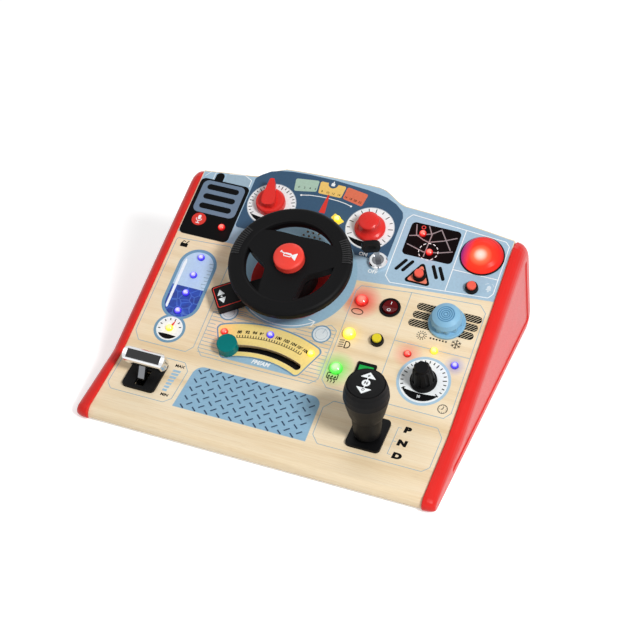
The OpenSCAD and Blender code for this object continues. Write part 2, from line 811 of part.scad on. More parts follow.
module steering_bush() {
    flange_lo = -panel_t - bush_flange_t;
    color("gray") on_face(wheel_p) difference() {
        union() {
            disc(bush_r, flange_lo, bush_top);
            disc(bush_flange_r, flange_lo, -panel_t);
        }
        disc(shaft_r + run_gap, flange_lo - cut, bush_top + cut);
    }
}

// Shaft with a head under the bush, pressed into the wheel's hub
hub_lo = column_h + 2 * slide_gap;
spoke_lo = hub_lo + hub_drop;
spoke_hi = spoke_lo + spoke_t;
pocket_lo = spoke_hi - horn_pocket;
hub_floor = 3.5;
shaft_top = pocket_lo - hub_floor;
shaft_head_r = shaft_r + 4;
shaft_head_t = 3;

module steering_shaft() {
    head_hi = -panel_t - bush_flange_t - slide_gap;
    color("silver") on_face(wheel_p) union() {
        disc(shaft_r, head_hi - shaft_head_t, shaft_top);
        disc(shaft_head_r, head_hi - shaft_head_t, head_hi);
    }
}

// Wheel with three spokes: one gap above them and one on each side below
rim_drop = 1;
rim_in = wheel_r - rim_w;
rim_lo = spoke_lo - rim_drop;
rim_edge = 4.5;
gap_steps = 16;
top_gap = [90, 54, 31];
low_gaps = [[-31, 36, 27.5], [211, 36, 27.5]];
function gap_r(t, mid_r) = rim_in + 1 - (rim_in + 1 - mid_r) * (1 - t * t);
function wheel_gap(g) = concat(
    [for (i = [0 : gap_steps]) let (a = g[0] - g[1] + 2 * g[1] * i / gap_steps)
        (rim_in + 1) * [cos(a), sin(a)]],
    [for (i = [gap_steps - 1 : -1 : 1]) let (t = 2 * i / gap_steps - 1, a = g[0] + g[1] * t)
        gap_r(t, g[2]) * [cos(a), sin(a)]]);

module steering_wheel() {
    color("black") on_face(wheel_p) difference() {
        union() {
            difference() {
                disc(rim_in + rim_w / 4, spoke_lo, spoke_hi);
                for (g = concat([top_gap], low_gaps))
                    prism(wheel_gap(g), spoke_lo - cut, spoke_hi + cut);
            }
            turned([for (p = box_outline(rim_w, rim_h, rim_edge))
                p + [wheel_r - rim_w / 2, rim_lo + rim_h / 2]]);
            disc(hub_r, hub_lo, spoke_hi);
        }
        disc(shaft_r + run_gap / 2, hub_lo - cut, shaft_top);
        disc(horn_r + slide_gap, pocket_lo, spoke_hi + cut);
    }
}

module horn_button() {
    lo = pocket_lo + horn_travel + slide_gap;
    hi = spoke_hi + horn_h;
    crown = 3.5;
    color("red") on_face(wheel_p)
        turned(concat([[0, lo], [horn_r, lo]], dome(horn_r, hi - crown, crown)));
}

// Indicator stalk, turning on the outside of the steering bush
module indicator_stalk() {
    hi = stalk_lo + stalk_t;
    color("black") on_face(wheel_p) rotate(stalk_dir) difference() {
        union() {
            disc(stalk_hub_r, stalk_lo, hi);
            translate([(stalk_reach - stalk_paddle_l / 2) / 2, 0, 0])
                block(stalk_reach - stalk_paddle_l / 2, stalk_neck_w, stalk_lo, hi);
            translate([stalk_reach - stalk_paddle_l / 2, 0, 0])
                prism(box_outline(stalk_paddle_l, stalk_w, 3), stalk_lo, hi);
        }
        disc(bush_r + run_gap, stalk_lo - cut, hi + cut);
    }
}

// Rotary switches behind the four knobs, with their panel nuts
knob_places = [pointer_p, volume_p, fan_p, dial_p];
thread_top = nut_t + 1.4;
spindle_lo = -panel_t - switch_d + 2;

module rotary_switches() {
    color("darkslategray") for (at = knob_places) on_face(at) difference() {
        union() {
            block(switch_w, switch_w, -panel_t - switch_d, -panel_t);
            disc(thread_r, -panel_t - 1, thread_top);
        }
        disc(spindle_r + run_gap, spindle_lo - 0.5, thread_top + cut);
    }
}

module panel_nuts() {
    color("silver") {
        for (at = knob_places) on_face(at) difference() {
            disc(nut_r, 0, nut_t);
            disc(thread_r + run_gap, -cut, nut_t + cut);
        }
        on_face(lock_p) difference() {
            disc(lock_body_r + 4, -panel_t - 3, -panel_t);
            disc(lock_body_r + run_gap, -panel_t - 3 - cut, cut);
        }
    }
}

// Knobs: each is recessed over its nut and pressed on its spindle
knob_recess_r = nut_r + 1;
knob_recess_top = thread_top + 0.6;
spindle_tip = 3;

module spindle(at, h) {
    color("silver") on_face(at) disc(spindle_r, spindle_lo, h - spindle_tip);
}

module knob_bores(h) {
    disc(knob_recess_r, -cut, knob_recess_top);
    disc(spindle_r + run_gap / 2, 0, h - spindle_tip);
}

module pointer_knob() {
    skirt_h = 10;
    tip_w = 5;
    tail = pointer_r * 0.72;
    edge = pointer_w / 2 - 1.5;
    color("red") on_face(pointer_p) difference() {
        union() {
            turned([[0, knob_gap], [pointer_r, knob_gap], [pointer_r, skirt_h - 3],
                [pointer_r - 1, skirt_h - 0.8], [pointer_r - 3, skirt_h], [0, skirt_h]]);
            rotate(pointer_dir) prism(rounded([[-pointer_w / 2, -tail], [pointer_w / 2, -tail],
                [pointer_w / 2, 0], [tip_w / 2, pointer_reach], [-tip_w / 2, pointer_reach],
                [-pointer_w / 2, 0]], [edge, edge, 8, 2, 2, 8]), skirt_h - 3, pointer_h);
        }
        knob_bores(pointer_h);
    }
}

module volume_knob() {
    skirt_h = 6;
    color("red") on_face(volume_p) difference() {
        turned(concat([[0, knob_gap], [volume_r, knob_gap], [volume_r, skirt_h - 2.5],
            [volume_r - 1, skirt_h - 1], [volume_cap_r + 2.4, skirt_h + 0.5],
            [volume_cap_r + 0.7, skirt_h + 2.5], [volume_cap_r, skirt_h + 5]],
            dome(volume_cap_r, volume_h - 3, 3)));
        knob_bores(volume_h);
    }
}

// Outline with shallow round flutes
function fluted(r, depth, flutes) = [for (k = [0 : 8 * flutes - 1])
    let (a = 360 * k / (8 * flutes)) (r - depth * (1 - cos(flutes * a)) / 2) * [cos(a), sin(a)]];

module fan_knob() {
    flange_h = 4;
    flute_top = fan_h * 0.6;
    lip = 0.4;
    color("skyblue") on_face(fan_p) difference() {
        union() {
            turned([[0, knob_gap], [fan_r, knob_gap], [fan_r, flange_h - 1],
                [fan_r - 1, flange_h], [0, flange_h]]);
            prism(fluted(fan_grip_r - lip, 1.8, 10), flange_h - 1, flute_top + 1);
            turned([[0, flute_top], [fan_grip_r, flute_top], [fan_grip_r - 0.8, flute_top + 2],
                [(fan_grip_r + fan_top_r) / 2 + 0.6, fan_h - 2.6], [fan_top_r, fan_h - 0.7],
                [fan_top_r - 1.5, fan_h], [0, fan_h]]);
        }
        knob_bores(fan_h);
    }
}

module dial_knob() {
    skirt_h = 5;
    flutes = 8;
    flute_r = 2.6;
    shoulder_r = dial_r - 2;
    lean = atan((shoulder_r - dial_top_r - 2) / (dial_h - 7 - skirt_h));
    color("black") on_face(dial_p) difference() {
        turned([[0, knob_gap], [dial_r, knob_gap], [dial_r, skirt_h - 2], [shoulder_r, skirt_h],
            [dial_top_r + 2, dial_h - 7], [dial_top_r + 1.6, dial_h - 4], [dial_top_r, dial_h - 3],
            [dial_top_r - 1, dial_h], [0, dial_h]]);
        for (i = [0 : flutes - 1]) rotate(360 * i / flutes)
            translate([shoulder_r + 1.2, 0, skirt_h]) rotate([0, -lean, 0])
                disc(flute_r, 2.5, dial_h);
        knob_bores(dial_h);
    }
}

module pointer_spindle() {
    spindle(pointer_p, pointer_h);
}

module volume_spindle() {
    spindle(volume_p, volume_h);
}

module fan_spindle() {
    spindle(fan_p, fan_h);
}

module dial_spindle() {
    spindle(dial_p, dial_h);
}

// Lock: fixed barrel, turning plug and the key in it
lock_body_r = plug_r + 2;
keyway_gap = 0.15;
key_tip = -panel_t - lock_d + 4;
bow_lo = lock_h + blade_free;
blade_in_bow = 4;
bow_wall = 4;

module lock_barrel() {
    color("silver") on_face(lock_p) difference() {
        union() {
            disc(lock_body_r, -panel_t - lock_d, 1);
            turned([[0, 0], [lock_r, 0], [lock_r, lock_h - 1.5], [lock_r - 1.2, lock_h], [0, lock_h]]);
        }
        disc(plug_r + run_gap, -panel_t - lock_d - cut, lock_h + cut);
    }
}

module lock_plug() {
    color("gainsboro") on_face(lock_p) difference() {
        disc(plug_r, -panel_t - lock_d, lock_h - 0.8);
        rotate(key_dir) block(blade_w + 2 * keyway_gap, blade_t + 2 * keyway_gap,
            key_tip - keyway_gap, lock_h);
    }
}

module key_blade() {
    color("silver") on_face(lock_p)
        rotate(key_dir) block(blade_w, blade_t, key_tip, bow_lo + blade_in_bow);
}

module key_bow() {
    hole_n = bow_h - bow_hole_h / 2 - bow_wall;
    color("black") on_face(lock_p, bow_lo) rotate(key_dir) difference() {
        translate([bow_off, 0, 0]) rotate([90, 0, 0]) prism([for (p = rounded([[-bow_w / 2 + 3, 0], [bow_w / 2 - 3, 0],
            [bow_w / 2, bow_h * 0.5], [bow_w / 2 - 2, bow_h], [-bow_w / 2 + 2, bow_h],
            [-bow_w / 2, bow_h * 0.5]], [2, 2, 6, 6, 6, 6])) p], -bow_t / 2, bow_t / 2);
        rotate([90, 0, 0]) translate([bow_off, hole_n, 0])
            prism(box_outline(bow_hole_w, bow_hole_h, bow_hole_h / 2 - 0.5), -bow_t, bow_t);
        block(blade_w + 2 * keyway_gap, blade_t + 2 * keyway_gap, -cut, blade_in_bow + keyway_gap);
    }
}

// Tuning slider: a shoe under the face runs in a curved guide
arc_steps = 24;
function on_arc(r, a) = r * [-sin(a), cos(a)];
function arc_band(r, w, from, to) = concat(
    [for (i = [0 : arc_steps]) on_arc(r - w / 2, from + (to - from) * i / arc_steps)],
    [for (i = [arc_steps : -1 : 0]) on_arc(r + w / 2, from + (to - from) * i / arc_steps)]);
shoe_half = 4.5;
shoe_hi = -panel_t - slide_gap;
shoe_lo = shoe_hi - shoe_t;
guide_in_w = shoe_w + 4 * slide_gap;
guide_half = slot_half + shoe_half + 2;

module slider_guide() {
    floor_hi = shoe_lo - slide_gap;
    color("gray") on_face(arc_p) difference() {
        prism(arc_band(arc_r, guide_in_w + 2 * guide_wall, -guide_half, guide_half),
            floor_hi - guide_wall, -panel_t);
        prism(arc_band(arc_r, guide_in_w, -guide_half - 1, guide_half + 1), floor_hi, cut);
    }
}

module slider_carriage() {
    color("gray") on_face(arc_p) rotate(slider_dir) union() {
        prism(arc_band(arc_r, shoe_w, -shoe_half, shoe_half), shoe_lo, shoe_hi);
        translate([0, arc_r, 0]) disc(stem_r, shoe_lo + shoe_t / 2, slider_h - 2);
    }
}

module slider_knob() {
    lo = 3 * slide_gap;
    color("teal") on_face(arc_p) rotate(slider_dir) translate([0, arc_r, 0]) difference() {
        turned([[0, lo], [slider_r - 0.6, lo], [slider_r, lo + 0.6], [slider_r, slider_h - 1],
            [slider_r - 1, slider_h], [0, slider_h]]);
        disc(stem_r + run_gap / 2, 0, slider_h - 2);
    }
}

// Lever plates on the front strip, with brackets and axles below
plate_gap = 1;
pivot_n = -panel_t - pivot_d;
gate_step = 2;
lever_gate_w = foot_w + 2 * plate_gap;
function gate_l(swing) = foot_t + 2 * ((plate_t - pivot_n) * tan(swing) + plate_gap);
levers = [[throttle_p, throttle_back, gate_l(throttle_swing)],
    [gear_p, gear_back, gate_l(gear_swing)]];
ear_in = foot_w / 2 + slide_gap;
ear_r = axle_r + 3;
axle_l = 2 * (ear_in + ear_t) + 1;
bracket_t = 2.5;

module lever_plates() {
    color("black") for (lever = levers) on_front(lever[0]) difference() {
        prism(box_outline(plate_w, plate_l, 5), 0, plate_t);
        translate([0, lever[1], 0]) block(lever_gate_w, lever[2], -cut, plate_t + cut);
    }
}

module lever_brackets() {
    bracket_w = 2 * (ear_in + ear_t + 6);
    color("silver") for (lever = levers) on_front(lever[0]) translate([0, lever[1], 0])
        difference() {
            union() {
                block(bracket_w, lever[2] + 8, -panel_t - bracket_t, -panel_t);
                for (x = [-1, 1]) translate([x * (ear_in + ear_t / 2), 0, 0]) {
                    block(ear_t, 2 * ear_r, pivot_n, -panel_t - bracket_t / 2);
                    translate([0, 0, pivot_n]) pin_across(ear_r, ear_t);
                }
            }
            block(2 * ear_in, lever[2], -panel_t - bracket_t - cut, cut);
            translate([0, 0, pivot_n]) pin_across(axle_r + run_gap / 2, bracket_w);
        }
}

module lever_axles() {
    color("silver") for (lever = levers) on_front(lever[0])
        translate([0, lever[1], pivot_n]) pin_across(axle_r, axle_l);
}

module on_throttle() {
    on_front(throttle_p) translate([0, throttle_back, pivot_n]) children();
}

module throttle_stem() {
    top = handle_n - pivot_n;
    knee = plate_t - pivot_n + 2;
    half = foot_t / 2;
    neck = handle_w / 2 - 3;
    color("silver") on_throttle() difference() {
        union() {
            pin_across(half, foot_w);
            across(foot_w - 2, rounded([[-half, 0], [half, 0], [half, knee],
                [handle_s + neck, top], [handle_s - neck, top], [-half, knee]],
                [0, 0, 8, 0, 0, 8]));
        }
        pin_across(axle_r + run_gap, foot_w + 2 * cut);
    }
}

// Throttle handle turned a little towards the driver, with a dark inlay
handle_tilt = 25;
handle_edge = min(handle_w, handle_t) / 2 - 1;
inlay_l = handle_l - 9;
inlay_w = handle_w - 8;
inlay_d = 1.2;

module on_handle() {
    on_throttle() translate([0, handle_s, handle_n - pivot_n]) rotate([handle_tilt, 0, 0]) children();
}

module throttle_handle() {
    color("gainsboro") on_handle() difference() {
        intersection() {
            across(handle_l, box_outline(handle_w, handle_t, handle_edge));
            prism(box_outline(handle_l, handle_w, handle_edge), -handle_t, handle_t);
        }
        block(inlay_l, inlay_w, handle_t / 2 - inlay_d, handle_t);
    }
}

module throttle_insert() {
    color("black") on_handle()
        block(inlay_l - 2 * fit_gap, inlay_w - 2 * fit_gap, handle_t / 2 - inlay_d, handle_t / 2 + 0.4);
}

// Gear lever: tapered sleeve on a flat foot, under a round knob
spigot_r = 7;
spigot_l = 13;
sleeve_lo = 6.2;

module on_gear() {
    on_front(gear_p) translate([0, gear_back, 0]) children();
}

module gear_stem() {
    color("dimgray") on_gear() difference() {
        union() {
            turned([[0, sleeve_lo], [sleeve_r - 0.8, sleeve_lo], [sleeve_r, sleeve_lo + 0.8],
                [sleeve_r + 1, seam_n / 2], [collar_r - 0.6, seam_n - 2], [collar_r, seam_n],
                [0, seam_n]]);
            disc(spigot_r, seam_n - 1, seam_n + spigot_l);
            block(foot_w, foot_t, pivot_n, sleeve_lo + 1);
            translate([0, 0, pivot_n]) pin_across(foot_t / 2, foot_w);
        }
        translate([0, 0, pivot_n]) pin_across(axle_r + run_gap, foot_w + 2 * cut);
    }
}

module gear_knob() {
    tall = gear_n - seam_n;
    groove_r = gear_r * 0.82;
    color("black") on_gear() difference() {
        turned([[0, seam_n], [collar_r + 1, seam_n], [collar_r + 2.5, seam_n + tall * 0.1],
            [gear_r - 2, seam_n + tall * 0.35], [gear_r, seam_n + tall * 0.58],
            [gear_r - 0.5, seam_n + tall * 0.72], [gear_r - 2, gear_n - 6],
            [gear_r - 3.2, gear_n - 3], [groove_r + 0.6, gear_n - 1], [groove_r, gear_n - 1.8],
            [groove_r - 0.6, gear_n - 0.6], [groove_r - 5, gear_n], [0, gear_n]]);
        disc(spigot_r + run_gap / 2, seam_n - cut, seam_n + spigot_l + fit_gap);
    }
}

// Rocker switches: housings snapped into the face, rockers on cross pins
rocker_flange_t = 2;
rocker_d = 12;
rocker_depth = 6;
rocker_wall = 1;
rocker_pin_r = 1.2;
rocker_pivot = -2;
round_window_r = round_rocker_r - rocker_lip;
rocker_body_r = round_window_r + rocker_wall;
square_window_w = square_rocker_w - 2 * rocker_lip;
square_window_l = square_rocker_l - 2 * rocker_lip - 1.6;
square_body_w = square_window_w + 2 * rocker_wall;
square_body_l = square_window_l + 2 * rocker_wall;
rocker_rise = 3;
rocker_room = 1.1;

module rocker_housings() {
    color("black") {
        on_face(round_rocker_p) difference() {
            union() {
                turned([[0, 0], [round_rocker_r, 0], [round_rocker_r, rocker_flange_t - 0.8],
                    [round_rocker_r - 0.8, rocker_flange_t], [0, rocker_flange_t]]);
                disc(rocker_body_r, -rocker_d, 1);
            }
            disc(round_window_r, -rocker_d + rocker_wall, rocker_flange_t + cut);
            translate([0, 0, rocker_pivot]) pin_across(rocker_pin_r + run_gap, 2 * round_rocker_r);
        }
        on_face(square_rocker_p) difference() {
            union() {
                prism(box_outline(square_rocker_w, square_rocker_l, 1.5), 0, rocker_flange_t);
                block(square_body_w, square_body_l, -rocker_d, 1);
            }
            block(square_window_w, square_window_l, -rocker_d + rocker_wall, rocker_flange_t + cut);
            translate([0, 0, rocker_pivot]) pin_across(rocker_pin_r + run_gap, square_rocker_w);
        }
    }
}

module on_rocker(at) {
    on_face(at) translate([0, 0, rocker_pivot]) rotate([-rocker_tilt, 0, 0])
        translate([0, 0, -rocker_pivot]) children();
}

function rocker_outline(half) = [[-half, -rocker_depth], [half, -rocker_depth],
    [half, rocker_rise], [0, 1], [-half, rocker_rise]];

module red_rocker() {
    r = round_window_r - rocker_room;
    color("darkred") on_rocker(round_rocker_p) union() {
        intersection() {
            across(2 * round_window_r, rocker_outline(round_window_r));
            disc(r, -rocker_depth, rocker_rise + cut);
        }
        translate([0, 0, rocker_pivot])
            pin_across(rocker_pin_r, 2 * (rocker_body_r - rocker_wall / 2));
    }
}

module green_rocker() {
    color("green") on_rocker(square_rocker_p) union() {
        across(square_window_w - 2 * slide_gap, rocker_outline(square_window_l / 2 - rocker_room));
        translate([0, 0, rocker_pivot])
            pin_across(rocker_pin_r, square_body_w - rocker_wall);
    }
}

// Push buttons: three alike, each a cap sliding in a black bezel
button_places = [hazard_p, siren_p, yellow_p];
button_body_r = cap_r + slide_gap + 1;
button_d = 11;
cap_lo = -5;
cap_rise = 3;

module button_bezels() {
    color("black") for (at = button_places) on_face(at) difference() {
        union() {
            turned([[0, 0], [bezel_r, 0], [bezel_r - 0.5, bezel_h - 0.6],
                [bezel_r - 1.1, bezel_h], [0, bezel_h]]);
            disc(button_body_r, -button_d, 1);
        }
        disc(cap_r + slide_gap, -button_d + 1, bezel_h + cut);
    }
}

module button_cap(at) {
    on_face(at) turned([[0, cap_lo], [cap_r, cap_lo], [cap_r, bezel_h + cap_rise - 0.8],
        [cap_r - 0.8, bezel_h + cap_rise], [0, bezel_h + cap_rise]]);
}

module hazard_button() {
    color("tomato") button_cap(hazard_p);
}

module siren_button() {
    color("tomato") button_cap(siren_p);
}

module yellow_button() {
    color("gold") button_cap(yellow_p);
}

// Beacon: a clear red dome held by a dark ring
beacon_ring_w = 1.2;
beacon_ring_h = 1.8;
beacon_wall = 2;
beacon_base = 1.4;

module beacon_ring() {
    inner = beacon_r - beacon_ring_w;
    color("black") on_face(beacon_p) difference() {
        turned([[0, 0], [beacon_r, 0], [beacon_r, beacon_ring_h - 0.6],
            [beacon_r - 0.6, beacon_ring_h], [0, beacon_ring_h]]);
        disc(inner, -cut, beacon_ring_h + cut);
    }
}

module beacon_dome() {
    r = beacon_r - beacon_ring_w - fit_gap;
    inner = dome(r - beacon_wall, beacon_base, beacon_rise - beacon_wall);
    color("red") on_face(beacon_p) turned(concat([[r, 0]], dome(r, beacon_base, beacon_rise),
        [for (i = [len(inner) - 1 : -1 : 0]) inner[i]], [[r - beacon_wall, 0]]));
}

// Lamps: large domes in a column, small round lights in the printed panels
led_ring_r = 36.5;
led_spread = 45;
radio_led_r = 132;
radio_led_spread = 22;
tank_u = 39.7;
tank_led_v = [for (i = [0 : 3]) -110.3 - 23.2 * i];
gauge_at = place([38.7, -202.4]);
map_leds = [place([266, -17.2]), place([280, -38.3])];
talk_led = place([47.3, -67.4]);
turn_led = place([168.7, -23.4]);
lamp_v = [-115, -157, -200];
lamp_places = [for (v = lamp_v) place([lamp_u, v])];
function ring_led(a) = dial_p + on_arc(led_ring_r, a);
function radio_led(a) = arc_p + on_arc(radio_led_r, a);
red_leds = concat(map_leds, [talk_led, radio_led(radio_led_spread), ring_led(led_spread)]);
yellow_leds = [gauge_at, turn_led, radio_led(-radio_led_spread), ring_led(0)];
blue_leds = concat([for (v = tank_led_v) place([tank_u, v])], [radio_led(0), ring_led(-led_spread)]);
lamp_d = 7;
lamp_collar = 1;

module small_light(at) {
    on_face(at) turned(concat([[0, -lamp_d], [led_r, -lamp_d]], dome(led_r, lamp_collar, led_r * 0.8)));
}

module signal_lamp(at) {
    on_face(at) turned(concat([[0, -lamp_d], [lamp_r, -lamp_d]],
        dome(lamp_r, lamp_collar, lamp_r * 0.75)));
}

module red_lamps() {
    color("red") {
        for (at = concat(red_leds, [beacon_p])) small_light(at);
        signal_lamp(lamp_places[0]);
    }
}

module yellow_lamps() {
    color("yellow") {
        for (at = yellow_leds) small_light(at);
        signal_lamp(lamp_places[1]);
    }
}

module green_lamp() {
    color("lime") signal_lamp(lamp_places[2]);
}

module blue_lamps() {
    color("blue") for (at = blue_leds) small_light(at);
}

left_side_panel();
right_side_panel();
face_panel();
base_board();
back_board();
battens();
screws();
battery_box();
battery_door();
battery_cells();
battery_contacts();
circuit_board();
speaker();
column_disc();
column_shroud();
steering_bush();
steering_shaft();
steering_wheel();
horn_button();
indicator_stalk();
rotary_switches();
panel_nuts();
pointer_knob();
pointer_spindle();
volume_knob();
volume_spindle();
fan_knob();
fan_spindle();
dial_knob();
dial_spindle();
lock_barrel();
lock_plug();
key_blade();
key_bow();
slider_guide();
slider_carriage();
slider_knob();
lever_plates();
lever_brackets();
lever_axles();
throttle_stem();
throttle_handle();
throttle_insert();
gear_stem();
gear_knob();
rocker_housings();
red_rocker();
green_rocker();
button_bezels();
hazard_button();
siren_button();
yellow_button();
beacon_ring();
beacon_dome();
red_lamps();
yellow_lamps();
green_lamp();
blue_lamps();
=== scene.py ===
# Busy board: a sloped toy dashboard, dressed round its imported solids.
# Everything is in metres and in the solids' own frame, with the board on the table at z = 0.
from math import acos, asin, cos, hypot, pi, radians, sin, tan

import bpy
from mathutils import Matrix, Vector


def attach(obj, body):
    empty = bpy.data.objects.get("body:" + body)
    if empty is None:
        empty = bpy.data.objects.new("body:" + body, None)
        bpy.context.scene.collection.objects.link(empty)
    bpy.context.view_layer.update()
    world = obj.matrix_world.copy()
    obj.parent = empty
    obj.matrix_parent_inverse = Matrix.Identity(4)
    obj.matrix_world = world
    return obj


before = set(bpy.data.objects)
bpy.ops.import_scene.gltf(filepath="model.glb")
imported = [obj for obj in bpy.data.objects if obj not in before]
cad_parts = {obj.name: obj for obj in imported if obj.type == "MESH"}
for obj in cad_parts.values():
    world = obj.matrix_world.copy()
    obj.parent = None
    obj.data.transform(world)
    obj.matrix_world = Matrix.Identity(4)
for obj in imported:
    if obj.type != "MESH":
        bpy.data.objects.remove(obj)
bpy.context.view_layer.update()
bpy.ops.object.select_all(action="DESELECT")
scene = bpy.context.scene
scene.view_settings.view_transform = "Standard"

# Camera
# A long lens looks down on the board from its front right, at the photograph's angle.
camera_at = Vector((0.4812, -1.41715, 1.0666))
camera_right = Vector((0.9358, 0.3493, 0.0478)).normalized()
camera_up = Vector((-0.2321, 0.5084, 0.8292)).normalized()
bpy.ops.object.camera_add(location=camera_at)
camera = bpy.context.object
camera_back = camera_right.cross(camera_up).normalized()
camera_turn = Matrix((camera_right, camera_back.cross(camera_right), camera_back)).transposed()
camera.rotation_euler = camera_turn.to_euler()
camera.data.sensor_width = 36.0
camera.data.lens = 93.66
camera.data.clip_end = 50.0
scene.camera = camera

# Studio
# A pale floor under a soft key light from the right, with a weak fill and a white surround.
# The floor looks white to the lens and in reflections, and still takes the board's shadow.


def add_node(tree, kind, **settings):
    """A new shader node: capital names set its sockets, small names its options."""
    made = tree.nodes.new("ShaderNode" + kind)
    for name, value in settings.items():
        if name[0].isupper():
            made.inputs[name.replace("_", " ")].default_value = value
        else:
            setattr(made, name, value)
    return made


def seen_white(tree):
    """One where a ray comes from the lens, a reflection or glass, and zero elsewhere."""
    rays = add_node(tree, "LightPath")
    total = rays.outputs["Is Camera Ray"]
    for ray in ("Is Glossy Ray", "Is Transmission Ray"):
        either = add_node(tree, "Math", operation="MAXIMUM")
        tree.links.new(total, either.inputs[0])
        tree.links.new(rays.outputs[ray], either.inputs[1])
        total = either.outputs[0]
    return total


def new_finish(name, **sockets):
    """A new material, with its node tree and its shader, whose sockets are set."""
    made = bpy.data.materials.new(name)
    made.use_nodes = True
    body = made.node_tree.nodes["Principled BSDF"]
    for socket, value in sockets.items():
        body.inputs[socket.replace("_", " ")].default_value = value
    return made, made.node_tree, body


floor_half, floor_grey, floor_lift = 1.7, 0.82, 0.5
bpy.ops.mesh.primitive_circle_add(vertices=96, radius=floor_half, fill_type="NGON", location=(0, 0, 0))
floor = bpy.context.object
floor.name = "studio_floor"
pale, tree, shader = new_finish("pale_floor", Base_Color=(floor_grey, floor_grey, floor_grey, 1),
                                Roughness=0.9, Specular_IOR_Level=0.0, Emission_Color=(1, 1, 1, 1))
lift = add_node(tree, "Math", operation="MULTIPLY")
lift.inputs[1].default_value = floor_lift
tree.links.new(seen_white(tree), lift.inputs[0])
tree.links.new(lift.outputs[0], shader.inputs["Emission Strength"])
floor.data.materials.append(pale)

surround_light = 0.3
surround = bpy.data.worlds.new("white_surround")
scene.world = surround
surround.use_nodes = True
tree = surround.node_tree
level = add_node(tree, "MapRange", To_Min=surround_light, To_Max=1.0)
tree.links.new(seen_white(tree), level.inputs["Value"])
tree.nodes["Background"].inputs["Color"].default_value = (1, 1, 1, 1)
tree.links.new(level.outputs["Result"], tree.nodes["Background"].inputs["Strength"])

lights = [
    ("key_light", (1.43, -1.13, 1.71), 0.5, 45.0),
    ("fill_light", (-1.5, -0.9, 1.9), 1.6, 5.0),
    ("back_light", (0.1, 1.7, 1.9), 1.4, 9.0),
]
for name, place, side, watts in lights:
    bpy.ops.object.light_add(type="AREA", location=place)
    lamp = bpy.context.object
    lamp.name = name
    lamp.data.size = side
    lamp.data.energy = watts
    lamp.rotation_euler = (-Vector(place)).to_track_quat("-Z", "Y").to_euler()

# Side panels
# Two thick mouldings in bright red plastic close the ends and stand a little above the face.
# They come glossy from the tool, with a faint orange-peel surface.
noise_low, noise_high = 0.3, 0.7


def hue(code):
    """Linear colour of a six-figure screen colour."""
    parts = [int(code[i:i + 2], 16) / 255 for i in (0, 2, 4)]
    return [c / 12.92 if c <= 0.04045 else ((c + 0.055) / 1.055) ** 2.4 for c in parts]


def ramp(tree, value, stops):
    """Colour output of a ramp over value, from (place, colour) stops."""
    band = add_node(tree, "ValToRGB")
    row = band.color_ramp.elements
    row[0].position, row[1].position = stops[0][0], stops[-1][0]
    row[0].color, row[1].color = (*stops[0][1], 1), (*stops[-1][1], 1)
    for place, colour in stops[1:-1]:
        row.new(place).color = (*colour, 1)
    tree.links.new(value, band.inputs["Fac"])
    return band.outputs["Color"]


def object_coordinates(tree):
    return add_node(tree, "TexCoord").outputs["Object"]


def noise(tree, where, scale, detail=2.0):
    """Noise over the given coordinates."""
    made = add_node(tree, "TexNoise", Scale=scale, Detail=detail)
    tree.links.new(where, made.inputs["Vector"])
    return made.outputs["Fac"]


def relief(tree, shader, height, strength, depth):
    """Bump of a given depth in metres under a shader."""
    bump = add_node(tree, "Bump", Strength=strength, Distance=depth)
    tree.links.new(height, bump.inputs["Height"])
    tree.links.new(bump.outputs["Normal"], shader.inputs["Normal"])


def spread(tree, value, low, high):
    """The value remapped between two limits, for a gloss that varies."""
    made = add_node(tree, "MapRange", From_Min=noise_low, From_Max=noise_high, To_Min=low, To_Max=high)
    tree.links.new(value, made.inputs["Value"])
    return made.outputs["Result"]


def shade(colour, factor):
    return [min(c * factor, 1.0) for c in colour]


def varied(tree, value, colour, low, high):
    """A colour that runs between two brightnesses along a noise."""
    return ramp(tree, value, [(noise_low, shade(colour, low)), (noise_high, shade(colour, high))])


def moulded(name, code, gloss, grain, depth, coat=0.0, shine=0.2):
    """Moulded plastic: faint flow marks in the colour and a fine texture from the tool."""
    made, tree, shader = new_finish(name, Coat_Weight=coat, Coat_Roughness=0.08, Specular_IOR_Level=shine)
    where = object_coordinates(tree)
    flow = noise(tree, where, 45.0, 3.0)
    tree.links.new(varied(tree, flow, hue(code), 0.96, 1.03), shader.inputs["Base Color"])
    texture = noise(tree, where, grain)
    tree.links.new(spread(tree, texture, gloss - 0.04, gloss + 0.05), shader.inputs["Roughness"])
    relief(tree, shader, texture, 0.25, depth)
    return made


def dress(nodes, finish):
    """Put a finish on each named solid."""
    for name in nodes.split():
        mesh_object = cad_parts[name]
        if not mesh_object.material_slots:
            mesh_object.data.materials.append(finish)
        for slot in mesh_object.material_slots:
            slot.material = finish


dress("left_side_panel right_side_panel", moulded("red_shell", "DA221C", 0.34, 700.0, 0.00006, 0.08))

# Face panel
# One sheet of pale birch plywood, bent at the front and lacquered; its edge shows the plies.
# Round each lamp set in bare wood, a pool of its light is painted into the wood's colour, out to its own
# reach.
# Places on it are in millimetres: u to the right, v up the slope, n out of the face.
mm = 0.001
face_w = 365.0
face_slope, front_slope = radians(28.0), radians(14.0)
face_plane = (Matrix.Translation((-face_w / 2 * mm, 0.11119, 0.14851))
              @ Matrix.Rotation(face_slope, 4, "X") @ Matrix.Scale(mm, 4))
front_plane = (Matrix.Translation((-face_w / 2 * mm, -0.10165, 0.035341))
               @ Matrix.Rotation(front_slope, 4, "X") @ Matrix.Scale(mm, 4))


